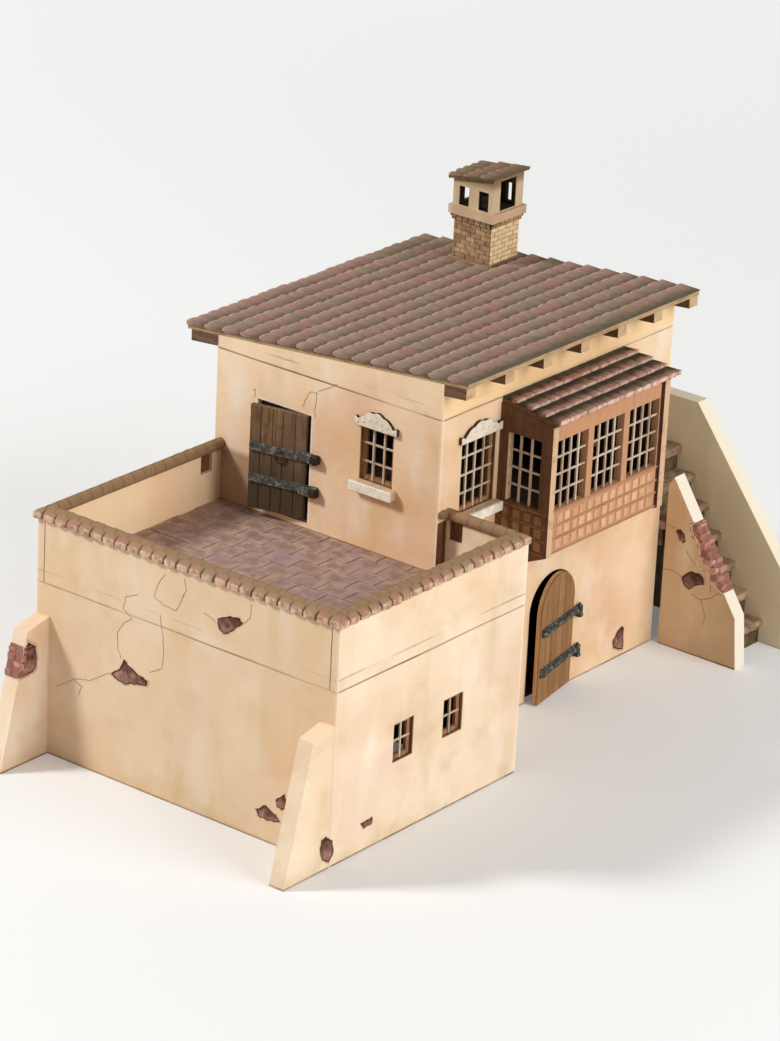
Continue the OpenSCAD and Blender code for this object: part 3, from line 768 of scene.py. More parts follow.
@dataclass(frozen=True)
class Tile(Finish):
    """Painted clay tiles: dark and mossy at the head, rosy at the tail; the dark
    head is partly painted shade under the course above.

    The lip is the part of a tile's length that is painted pale as a highlight,
    the shade is where the dark head ends, and the valley tells how dark the
    folds between two tails are, partly painted shade and partly scorched cut lines.
    """

    head: Triple
    middle: Triple
    tail: Triple
    edge: Triple
    moss: Triple = (122, 116, 78)
    moss_part: float = 0.5
    lip: Pair = (0.9, 0.98)
    shade: Pair = (0.12, 0.5)
    valley: float = 0.0
    clay: Triple = (170, 112, 98)
    sand: Triple = (140, 130, 100)
    soot: Triple = (84, 66, 52)
    fold: Triple = (66, 36, 22)

    def paint(self) -> Material:
        """Builds the colour along each tile, the moss and the grain.

        Returns:
            The material.
        """
        g = Graph(self.name)
        u, v, _ = g.axes(g.pattern)
        spot = g.noise(2.4, 3.0, 4)
        along = g.sum("ADD", v, g.level(spot, 0.3, 0.7, -0.14, 0.14))
        colour = g.tint(self.middle, self.tail, along, 0.45, 0.9)
        tone = g.tone()
        colour = g.tint(colour, self.clay, tone, 0.6, 1.0, 0.4)
        colour = g.tint(colour, self.sand, tone, 0.4, 0.0, 0.45)
        # Dark heads: partly painted shade under the course above.
        colour = g.tint(self.head, colour, along, *self.shade)
        moss = g.times(g.level(g.noise(11, 1.0, 3), 0.42, 0.66), g.level(v, 0.95, 0.45))
        colour = g.mix(colour, self.moss, g.times(moss, self.moss_part))
        # Pale lips at the tails: painted highlights.
        lip = g.times(g.level(v, *self.lip), g.level(spot, 0.4, 0.58))
        colour = g.mix(colour, self.edge, g.times(lip, 0.8))
        colour = g.tint(colour, self.soot, spot, 0.6, 0.8, 0.35)
        # Dark folds between the tails: partly painted shade, partly scorched cut lines.
        if self.valley:
            fold = g.level(g.gap(g.sum("FRACT", u), 0.5), 0.39, 0.47)
            deep = g.level(v, 0.3, 0.8, 0.3 * self.valley, self.valley)
            colour = g.mix(colour, self.fold, g.times(fold, deep))
        return g.finish(colour, 0.82, g.blend(spot, g.noise(0.8, 5.0, 3), (0.7, 0.3)), 0.25)


@dataclass(frozen=True)
class Paving(Finish):
    """Dusty slabs, darker in the middle and pale at the joints."""

    heart: Triple = (144, 114, 100)
    dust: Triple = (178, 150, 136)
    clay: Triple = (156, 122, 104)
    mauve: Triple = (158, 130, 134)
    moss: Triple = (152, 134, 94)
    grit: Triple = (206, 180, 168)

    def paint(self) -> Material:
        """Builds the slabs' hearts, dust and moss near the walls.

        Returns:
            The material.
        """
        g = Graph(self.name)
        u, v, _ = g.axes(g.pattern)
        x, y, _ = g.axes()
        inward = [g.sum("SUBTRACT", 0.5, g.gap(side, 0.5)) for side in (u, v)]
        cloud = g.noise(4.2, 2.0, 3)
        inner = g.sum("ADD", g.sum("MINIMUM", *inward), g.level(cloud, 0.3, 0.7, -0.32, 0.32))
        colour = g.tint(self.dust, self.heart, inner, -0.1, 0.42)
        colour = g.tint(colour, self.clay, g.tone(), 0.3, 1.0, 0.3)
        colour = g.tint(colour, self.mauve, g.noise(20, 4.0), 0.5, 0.7, 0.6)
        rim = g.sum("MINIMUM", g.level(x, 4, 14), g.level(y, 4, 12))
        rim = g.sum("ADD", rim, g.level(cloud, 0.3, 0.7, -0.3, 0.3))
        colour = g.tint(self.moss, colour, rim, 0.1, 0.8)
        fine = g.noise(1.1, 3.0, 4)
        colour = g.tint(colour, self.grit, fine, 0.6, 0.74, 0.6)
        return g.finish(colour, 0.85, g.blend(cloud, fine, (0.6, 0.4)), 0.2)


@dataclass(frozen=True)
class Board(Finish):
    """Painted or bare board with an upright grain and grime.

    Where fade gives two heights, the board darkens from the upper to the
    lower one. Ends are an axis and the colour of the faces that look along
    it.
    """

    base: Triple
    light: Triple
    dark: Triple
    grain: Triple = (1.3, 1.3, 16.0)
    streak: float = 0.6
    grime: float = 0.4
    relief: float = 0.12
    tint: Triple = (150, 112, 82)
    tint_part: float = 0.0
    fade: Pair = (0.0, 0.0)
    stains_and_painted_light: tuple[StainOrPaintedLight, ...] = ()
    ends: Optional[tuple[Facing, Triple]] = None

    def paint(self) -> Material:
        """Builds the grain, the grime and each board's own tone.

        Returns:
            The material.
        """
        g = Graph(self.name)
        grain = g.noise(self.grain, 1.0, 4, warp=0.2)
        cloud = g.noise(3.4, 4.0, 4)
        colour = g.tint(self.base, self.light, grain, 0.5, 0.68, self.streak)
        colour = g.tint(colour, self.dark, grain, 0.46, 0.34, self.streak)
        colour = g.toned(colour, self.light, self.dark, (0.35, 0.3))
        if self.tint_part:
            colour = g.tint(colour, self.tint, g.noise(13, 2.5, 2), 0.42, 0.62, self.tint_part)
        if self.fade[1]:
            lower = g.sum("ADD", g.axes()[2], g.times(cloud, 8))
            colour = g.mix(colour, self.dark, g.level(lower, *self.fade, 0.85, 0.0))
        if self.ends:
            facing, end = self.ends
            colour = g.tint(colour, end, g.looking(facing.value), 0.6, 0.8, 0.85)
        colour = g.tint(colour, self.dark, cloud, 0.52, 0.74, self.grime)
        return g.finish(g.with_stains_and_painted_light(colour, self.stains_and_painted_light), g.level(cloud, 0.3, 0.7, 0.62, 0.8),
                        g.sum("ADD", grain, g.times(cloud, 0.4)), self.relief)


@dataclass(frozen=True)
class Stone(Finish):
    """Mottled stone or brick; tones tell how far blocks darken and lighten."""

    base: Triple
    light: Triple
    dark: Triple
    moss: Triple = (128, 122, 82)
    patch: float = 5.0
    moss_part: float = 0.5
    relief: float = 0.3
    tones: Pair = (0.35, 0.5)

    def paint(self) -> Material:
        """Builds the mottling, the moss and the rough grain.

        Returns:
            The material.
        """
        g = Graph(self.name)
        cloud = g.noise(self.patch, 1.0, 4)
        grain = g.noise(0.8, 3.0, 4)
        colour = g.tint(self.base, self.light, cloud, 0.5, 0.7, 0.8)
        colour = g.tint(colour, self.dark, cloud, 0.47, 0.3, 0.7)
        colour = g.toned(colour, self.light, self.dark, self.tones[::-1])
        colour = g.tint(colour, self.moss, g.noise(self.patch * 2.2, 6.0, 2), 0.5, 0.66,
                        self.moss_part)
        colour = g.tint(colour, self.dark, grain, 0.6, 0.75, 0.3)
        return g.finish(colour, 0.86, g.blend(cloud, grain, (0.6, 0.4)), self.relief)


def drawn_in(node_box: np.ndarray, low_in: Triple, high_in: Triple) -> tuple[Triple, Triple]:
    """Corners of a solid's box, each drawn in by its own amounts."""
    return tuple(node_box[0] + low_in), tuple(node_box[1] - high_in)


INSIDE = Plan.WALL - 0.1
# Painted shade: the oriel's inside is painted dark, so that its windows look dark.
GLOOM = StainOrPaintedLight((Plan.ORIEL[0][0] + INSIDE, Plan.ORIEL_FACE + INSIDE, 0.0),
              (Plan.ORIEL[1][0] - INSIDE, Plan.FRONT + 0.1, 200.0), (52, 26, 18))
# Painted shade: the block's outer end face is painted darker and warmer.
END_FACE_SHADE = StainOrPaintedLight((-1.0, -1.0, -1.0), (0.5, Plan.DEPTH + 1, Plan.COPING_Z),
                   (216, 178, 134), 0.3, 0.38)
# Painted shade: the terrace block's inside is painted dark.
BLOCK_INSIDE_SHADE = StainOrPaintedLight((INSIDE, INSIDE, -1.0), (Plan.LEFT + 2, Plan.DEPTH - INSIDE, 62.0))
# Painted light: the back parapet's inner face is painted lighter.
PARAPET_GLOW = StainOrPaintedLight((2.5, Plan.DEPTH - 3.6, Plan.DECK_Z - 2),
                     (99.0, Plan.DEPTH - 2.8, 90.0), (255, 224, 178), 0.5, 0.9)
# Darker towards the corner by the terrace door: partly dirt, partly painted shade.
PARAPET_CORNER_SHADE_AND_DIRT = StainOrPaintedLight((88.0, Plan.DEPTH - 8, Plan.DECK_Z - 2),
                       (99.0, Plan.DEPTH - 2.8, 90.0), (150, 116, 66), 6.0, 0.7)
# Painted shade: the house's inside is painted dark.
HOUSE_INSIDE_SHADE = StainOrPaintedLight((Plan.LEFT + INSIDE, Plan.FRONT + INSIDE, -9.0),
                     (Plan.RIGHT - INSIDE, Plan.DEPTH - INSIDE, 200.0))
# Painted shade: the front wall behind the oriel is painted dark.
ORIEL_OPENING_SHADE = StainOrPaintedLight((Plan.ORIEL[0][0] + INSIDE, Plan.FRONT - 0.1, Plan.ORIEL[0][2] + 1),
                      (Plan.ORIEL[1][0] - INSIDE, Plan.FRONT + 3.1, Plan.EAVE_Z - 1),
                      (64, 34, 22))
DOOR_SHADE = StainOrPaintedLight((Plan.LEFT - 1, 112.5, Plan.DECK_Z - 1),
                   (Plan.LEFT + 0.5, 129.5, 86.5), (98, 68, 38), 1.2, 0.9)
# A dark line where the left wall meets the deck: partly dirt, partly painted shade.
DECK_LINE_SHADE_AND_DIRT = StainOrPaintedLight((Plan.LEFT - 1, -9.0, Plan.DECK_Z - 0.5),
                  (Plan.LEFT + 0.5, FAR, Plan.DECK_Z + 0.7), (96, 68, 44), 0.25, 0.8)
# Painted light: the front wall under the eave is painted lighter, against the eave's shadow.
EAVE_GLOW = StainOrPaintedLight((Plan.LEFT - 1, Plan.FRONT - 1, 123.5),
                  (Plan.RIGHT + 1, Plan.FRONT + 0.5, 140.0), (255, 216, 160), 0.8, 0.9)
# Painted light: the inner face of the stair's outer wall is painted lighter.
STAIR_GLOW = StainOrPaintedLight((246.0, -9.0, -9.0), (253.0, FAR, FAR), (255, 240, 204), 2.0, 0.75)
# Painted shade: the chimney's inside, seen through the lantern, is painted dark.
LANTERN_SHADE = (44, 32, 24)


class Paints:
    """The house's finishes by their plain names."""

    BLOCK = Plaster("block_plaster", (250, 226, 196), seams=(62.5,), faint_seams=(66.7,),
                    corners=((0.0, 0.0), (Plan.BLOCK, 0.0), (0.0, Plan.DEPTH)),
                    stains_and_painted_light=(END_FACE_SHADE, BLOCK_INSIDE_SHADE, PARAPET_GLOW, PARAPET_CORNER_SHADE_AND_DIRT))
    MAIN = Plaster("house_plaster", (248, 216, 180), (236, 192, 146), (238, 196, 160),
                   seams=(122.5,), faint_seams=(126.2,),
                   corners=((Plan.LEFT, Plan.FRONT), (Plan.RIGHT, Plan.FRONT)),
                   stains_and_painted_light=(HOUSE_INSIDE_SHADE, ORIEL_OPENING_SHADE, DOOR_SHADE, DECK_LINE_SHADE_AND_DIRT, EAVE_GLOW))
    # The stair walls' paint is darker than the house's, partly as painted shade; their tops and
    # cut edges are painted paler as a painted highlight.
    STAIR = Plaster("stair_plaster", (228, 198, 160), (210, 174, 132), (212, 180, 142),
                    edge_light=0.9, stains_and_painted_light=(STAIR_GLOW,))
    # Pale edge paint: partly wear, partly painted highlight.
    EDGE = Plaster("pale_edge_and_highlight", (254, 242, 220), (244, 222, 190), (244, 220, 196))
    COLLAR = Plaster("collar_plaster", (206, 172, 140), (158, 124, 94), (186, 146, 118),
                     foot=False,
                     # Painted shade on the collar inside the lantern.
                     stains_and_painted_light=(StainOrPaintedLight(*drawn_in(Plan.LANTERN, (1, 1, -9), (1, 1, 0)), LANTERN_SHADE),))
    LANTERN = Plaster("lantern_plaster", (206, 180, 144), (158, 132, 98), (176, 146, 112),
                      foot=False,
                      # Faint painted shade inside the lantern.
                      stains_and_painted_light=(StainOrPaintedLight(*drawn_in(Plan.LANTERN, (0.25, 0.25, -1), (0.25, 0.25, -1)),
                                    LANTERN_SHADE, 0.1),
                              # Painted shade under the cap, along the lantern's top.
                              StainOrPaintedLight((0.0, 0.0, Plan.LANTERN[1][2] - 3.4), (FAR, FAR, FAR),
                                    (116, 92, 62), 1.4, 0.8)))
    ROOF = Tile("roof_tile", (94, 82, 64), (134, 110, 94), (168, 136, 122),
                (200, 170, 150), (108, 98, 74))
    ORIEL_ROOF = Tile("oriel_tile", (58, 56, 40), (140, 104, 84), (206, 156, 140),
                      (240, 204, 184), moss_part=0.25, shade=(0.38, 0.82), valley=0.4)
    COPING = Tile("coping_tile", (146, 116, 84), (162, 126, 94), (176, 136, 106),
                  (230, 194, 166), (144, 122, 84), lip=(0.86, 0.96), valley=0.8)
    CAP = Tile("chimney_tile", (104, 84, 62), (122, 98, 74), (146, 116, 92),
               (176, 146, 120), moss_part=0.3)
    PAVING = Paving("terrace_paving")
    BACKING = Board("tile_backing", (52, 34, 26), (78, 54, 42), (28, 18, 14))
    ROOF_BOARD = Board("roof_board", (196, 166, 122), (220, 192, 150), (128, 96, 62),
                       (9, 9, 1.5))
    FLOOR = Board("floor_board", (92, 70, 52), (116, 92, 70), (56, 40, 28), (14, 2, 2))
    RAFTER = Board("rafter_timber", (126, 92, 70), (164, 126, 100), (70, 46, 32),
                   (1.3, 14, 1.3), ends=(Facing.Y, (214, 178, 136)))
    RED = Board("oriel_front_wood", (208, 156, 116), (226, 178, 138), (166, 116, 82),
                (2.0, 2.0, 14), 0.3, 0.2, tint=(200, 144, 104), tint_part=0.5,
                stains_and_painted_light=(GLOOM,))
    SIDE = Board("oriel_side_wood", (118, 80, 50), (146, 104, 70), (70, 44, 26),
                 (2.0, 2.0, 14), 0.4, ends=(Facing.Y, (230, 188, 150)), stains_and_painted_light=(GLOOM,))
    SIDE_BLOCK = Board("side_blocks", (140, 100, 68), (166, 126, 92), (96, 64, 42))
    RAIL = Board("oriel_rail", (192, 138, 100), (208, 158, 120), (148, 100, 70),
                 (10, 10, 2), 0.45)
    RAISED = Board("raised_wood", (222, 170, 130), (238, 194, 158), (184, 132, 96),
                   streak=0.5)
    # Painted shade: a dark red-brown for the holes' dark rings, the board in the terrace doorway
    # and the groove at the oriel's post.
    DEEP_SHADE = Board("painted_deep_shade", (78, 38, 28), (104, 60, 46), (48, 22, 16))
    POST = Board("bare_post", (216, 182, 146), (238, 212, 182), (150, 114, 84), streak=0.5)
    BARS = Board("window_bars", (200, 176, 150), (236, 218, 196), (142, 116, 92),
                 streak=0.5, grime=0.35, relief=0.06)
    FRAME = Board("window_frames", (172, 120, 80), (206, 158, 114), (104, 70, 46),
                  streak=0.5)
    REVEAL = Board("window_reveals", (122, 92, 56), (158, 124, 82), (72, 52, 30))
    LIP = Board("plaster_lip", (238, 206, 172), (252, 228, 200), (196, 158, 122))
    LEAF_EDGE = Board("leaf_edge", (206, 164, 118), (228, 192, 150), (158, 118, 80))
    SLOT = Board("slot_wood", (128, 88, 60), (160, 118, 86), (62, 40, 26))
    SCORCHED = Board("cut_edge", (88, 62, 42), (124, 92, 62), (44, 30, 20))
    PLANK = Board("upper_planks", (128, 98, 68), (156, 122, 88), (58, 46, 34),
                  (0.9, 0.9, 14), 0.6, 0.45, tint=(98, 80, 58), tint_part=0.5,
                  fade=(84.0, 102.0))
    ARCH_PLANK = Board("arched_planks", (158, 116, 74), (184, 142, 98), (112, 78, 48),
                       (1.6, 1.6, 20), 0.4, 0.3, tint=(150, 104, 66), tint_part=0.4)
    CRACK = Board("crack_line", (158, 128, 98), (186, 154, 122), (112, 86, 62))
    TRIM = Stone("carved_trim", (246, 236, 218), (254, 250, 242), (206, 188, 160),
                 (228, 214, 184), 1.9, 0.4, 0.2)
    IRON = Stone("mottled_iron", (78, 78, 72), (146, 150, 144), (28, 24, 20),
                 (70, 72, 58), 1.5, relief=0.25, tones=(0.0, 0.0))
    BRICK = Stone("shaft_brick", (202, 162, 126), (255, 226, 178), (118, 88, 58),
                  (206, 180, 112), 3.0, 0.12, 0.2, (0.8, 0.7))
    # Painted shade: the corbels are painted darker than the shaft's bricks, for the shade under
    # the collar.
    CORBEL = Stone("chimney_corbel", (160, 128, 94), (196, 162, 124), (104, 78, 54),
                   moss_part=0.2)
    MORTAR = Stone("chimney_mortar", (176, 144, 108), (200, 168, 130), (134, 106, 76),
                   moss_part=0.2)
    RED_BRICK = Stone("broken_brick", (190, 134, 118), (222, 170, 152), (120, 74, 62),
                      (156, 108, 92), 2.4, 0.4, tones=(0.6, 0.6))
    HOLE = Stone("hole_ground", (134, 90, 76), (190, 146, 130), (48, 26, 18),
                 (96, 62, 50), 2.2, relief=0.4, tones=(0.95, 0.75))
    STEP = Stone("worn_step", (166, 136, 108), (204, 174, 142), (100, 76, 56),
                 (132, 118, 84), 3.0, 0.35)
    # Painted shade: the risers are painted dark, for the shade under the treads' noses.
    RISER = Stone("step_riser", (96, 72, 52), (128, 100, 74), (54, 38, 28), patch=3.0)


# ---- tile sheets


@dataclass(frozen=True)
class Barrel:
    """A kind of barrel tile, drawn as one wavy sheet for each course.

    A point at u along the course and v down it stands at the height
    rise0 + (rise1 - rise0) * v / run + wave * (arch - 1), where the arch is
    the absolute cosine of half a turn per tile raised to a power below 1.
    The tail edge draws back by the scallop where two tiles meet.
    """

    pitch: float
    rise: Pair
    wave: Pair
    scallop: float
    rows: int = 4
    steps: int = 8
    power: float = 0.8
    lifted: float = 0.12
    slipped: float = 0.15
    pool: int = 400

    def course(self, shape: Shape, seed: int, origin: Sequence[float], axes: Sequence,
               size: Pair, first: float = 0.0,
               limits: Optional[Callable[[np.ndarray], tuple]] = None) -> None:
        """Adds one course as a closed sheet.

        Args:
            shape: The piece that it joins.
            seed: Chooses the tiles' tones and slips.
            origin: Its first corner, at the tiles' heads.
            axes: Directions along the course, down it and up from it.
            size: Its length along the course and down it.
            first: Where along the course the first joint lies.
            limits: Gives the course's two ends at distances down it.
        """
        length, run = size
        along, down, up = np.asarray(axes, float)
        count = int(math.ceil(length / self.pitch * self.steps)) + 1
        u = np.linspace(0, length, count)[:, None]
        v = np.linspace(0, 1, self.rows)[None, :] * run
        part = v / run
        phase = (u - first) / self.pitch
        rng = np.random.default_rng(seed + 11)
        tones, slips = rng.random(self.pool), rng.uniform(-1, 1, self.pool)
        number = np.floor(phase).astype(int) % self.pool
        arch = np.abs(np.cos(math.pi * (phase - 0.5))) ** self.power
        wave = self.wave[0] + (self.wave[1] - self.wave[0]) * part
        slope = self.rise[0] + (self.rise[1] - self.rise[0]) * part
        slip = slips[number] * part
        height = slope + wave * (arch - 1) + self.lifted * slip
        drawn = v - part ** 3 * self.scallop * (1 - arch) + self.slipped * slip
        held = np.clip(u + 0 * v, *(limits(drawn) if limits else (0.0, length)))
        marks = np.stack(np.broadcast_arrays(phase, part, tones[number]), -1)
        foot = np.asarray(origin, float) + held[..., None] * along + drawn[..., None] * down
        shape.slab(foot + height[..., None] * up, foot, marks)

    def courses(self, shape: Shape, seed: int, span: Pair, head: Pair, tail: float,
                fall: float, count: int, lap: float = 0.9, over: float = 0.2,
                stagger: float = 0.0) -> None:
        """Adds the courses of a slope, each lapped under the one above.

        Args:
            shape: The piece that they join.
            seed: Chooses the tiles' tones and slips.
            span: The slope's ends along X.
            head: (y, z) of the slope's upper edge.
            tail: Y of its lower edge.
            fall: Its fall in degrees.
            count: Number of courses.
            lap: How far a course reaches under the one above.
            over: How far its tail hangs over.
            stagger: How far every other course's joints are shifted.
        """
        away = 1 if tail > head[0] else -1
        sin, cos = math.sin(math.radians(fall)), math.cos(math.radians(fall))
        down, up = np.array([0.0, away * cos, -sin]), np.array([0.0, away * sin, cos])
        run = abs(tail - head[0]) / cos / count
        for k in range(count):
            begin = max(k * run - lap, 0.0)
            self.course(shape, seed + k, np.array([span[0], *head]) + begin * down,
                        ((1, 0, 0), down, up),
                        (span[1] - span[0], (k + 1) * run - begin + over), stagger * (k % 2))


@dataclass
class Copings:
    """Barrel tiles laid across the tops of the terrace walls."""

    out: float = 1.5
    inner: float = 4.8
    high: float = 4.4
    roll: float = 2.1
    tile: Barrel = Barrel(5.4, (4.4, 2.1), (0.35, 0.8), 0.8, rows=9, steps=12, power=0.75)
    slot_z: Pair = (78.4, 85.5)
    back_slot: Pair = (79.7, 85.9)
    return_slot: Pair = (24.4, 30.6)
    return_end: Pair = (95.4, 66.9)

    def run_of(self, name: str, origin: Triple, along: Triple, inward: Triple,
               length: float, mitred: bool, seed: int) -> None:
        """Builds one wall's coping, which is mitred at its first end.

        The roll's middle sways by a sum of three sines of the distance.

        Args:
            name: The solid's name, which the coping stands for.
            origin: The outer wall face's corner at the first end.
            along: Direction along the wall.
            inward: Direction to the terrace.
            length: Distance between the corners of the outer wall faces.
            mitred: Whether the last end is cut at 45 degrees too.
            seed: Chooses the tiles' tones.
        """
        inset = self.inner - self.roll
        stop = self.out if mitred else 0.0
        corner, along, inward = (np.asarray(p, float) for p in (origin, along, inward))

        def limits(v: np.ndarray) -> tuple:
            """Ends of the coping at a distance from the roll's middle."""
            across = inset - v
            return across + self.out, self.out + length - (across if mitred else 0.0)

        base = corner - self.out * along + inset * inward + np.array([0, 0, Plan.COPING_Z])
        shape = Shape()
        self.tile.course(shape, seed, base, (along, -inward, (0, 0, 1)),
                         (length + self.out + stop, self.out + inset), limits=limits)
        line = np.linspace(inset, length - (inset if mitred else 0.0),
                           max(int(length / 1.1), 8))
        sway = 0.12 * np.sin(line * 0.9 + seed) + 0.1 * np.sin(line * 2.3) \
            + 0.06 * np.sin(line * 4.1)
        path = corner + line[:, None] * along + (inset + sway)[:, None] * inward
        path[:, 2] = Plan.COPING_Z + self.high - self.roll - 0.1 + sway * 0.5
        sides = 14
        shape.tube(path, self.roll, inward, sides)
        shape.marks[-1][:, 0] = np.repeat(line / self.tile.pitch, sides)
        shape.marks[-1][:, 1:] = (0.3, 0.5)
        shape.piece(name + "_tiles", Paints.COPING, "roof_tiles", replaces=(name,), smooth=40)

    def build(self) -> None:
        """Builds the boards in the slots, a dark board on the front wall beside the return wall,
        the four copings and the last one's end.
        """
        right, back, wall = Plan.BLOCK - self.out, Plan.DEPTH, Plan.FRONT
        (low, high), (end, foot) = self.slot_z, self.return_end
        (a, b), (c, d) = self.back_slot, self.return_slot
        # The third board darkens the strip of the main front wall between its corner and the
        # return wall.
        Shape().boxes([[a, back - 1.6, low], [right - 2.0, c, low],
                       [Plan.LEFT + 0.1, wall - 0.08, foot]],
                      [[b, back - 1.3, high], [right - 1.7, d, high],
                       [end, wall, high]]).piece("parapet_slot_boards", Paints.SLOT,
                                                 "dark_timber")
        x, y = (1, 0, 0), (0, 1, 0)
        self.run_of("coping_end", (0, 0, 0), y, x, back, True, 1)
        self.run_of("coping_front", (0, 0, 0), x, y, right, True, 2)
        self.run_of("coping_back", (0, back, 0), x, (0, -1, 0), Plan.LEFT, False, 3)
        self.run_of("coping_return", (right, 0, 0), y, (-1, 0, 0), wall, False, 4)
        Shape().plate(Facing.Y, (wall - 1.6, wall),
                      [(Plan.LEFT, 87.4), (95.0, 86.4), (96.5, 89.2), (93.5, 89.8),
                       (Plan.LEFT, 89.6)]).piece(
            "coping_return_fillet", Paints.COPING, "roof_tiles", bevel=0.4)


@dataclass
class Roofs:
    """The main roof's and the oriel roof's boards and courses of tiles."""

    thick: float = 3.0
    cut: float = 1.4
    tile: Barrel = Barrel(5.4, (0.3, 1.5), (0.15, 0.3), 0.2, steps=7)
    oriel_fall: float = 8.0
    oriel_cut: float = 1.3
    oriel_eave: float = 1.9
    oriel_tile: Barrel = Barrel(5.25, (0.4, 1.7), (0.12, 0.4), 0.25, rows=5, steps=10)

    def main(self) -> None:
        """Builds the main roof's board and its fifteen courses."""
        (x0, y0), (x1, y1) = Plan.ROOF[:, :2]
        Shape().board((Plan.LEFT, Plan.RIGHT), (y0, roof_top(y0)), (y1, roof_top(y1)),
                      (self.thick, self.cut)).piece(
            "roof_underboard", Paints.ROOF_BOARD, "roof_tiles")
        shape = Shape()
        self.tile.courses(shape, 20, (x0, x1), (y0, roof_top(y0) - self.cut), y1,
                          Plan.ROOF_FALL, 15, stagger=1.3)
        shape.piece("roof_courses", Paints.ROOF, "roof_tiles", replaces=("roof",), smooth=50)

    def oriel(self) -> None:
        """Builds the oriel roof's board and its four courses."""
        (x0, y0, _), (x1, y1, top) = Plan.ORIEL_ROOF
        eave = y0 + self.oriel_eave
        drop = (y1 - eave) * math.tan(math.radians(self.oriel_fall))
        Shape().board((x0, x1), (eave, top - drop), (y1, top),
                      (self.thick, self.oriel_cut)).piece(
            "oriel_roof_board", Paints.SLOT, "roof_tiles")
        shape = Shape()
        self.oriel_tile.courses(shape, 50, (x0, x1), (y1, top - self.oriel_cut), y0,
                                self.oriel_fall, 4)
        shape.piece("oriel_roof_courses", Paints.ORIEL_ROOF, "roof_tiles",
                    replaces=("oriel_roof",), smooth=50)

    def build(self) -> None:
        """Builds both roofs."""
        self.main()
        self.oriel()


# ---- openings


@dataclass(frozen=True)
class Window:
    """One window opening and how its panes are divided.

    The corner is its lower left corner on the wall's outer face, and bars
    stand a set-back inside that face; side is 1 where the wall's inside
    lies at higher values of the facing axis and -1 where at lower ones.
    """

    facing: Facing
    at: float
    side: int
    corner: Pair
    size: Pair
    panes: tuple[int, int]
    back: float = 1.2


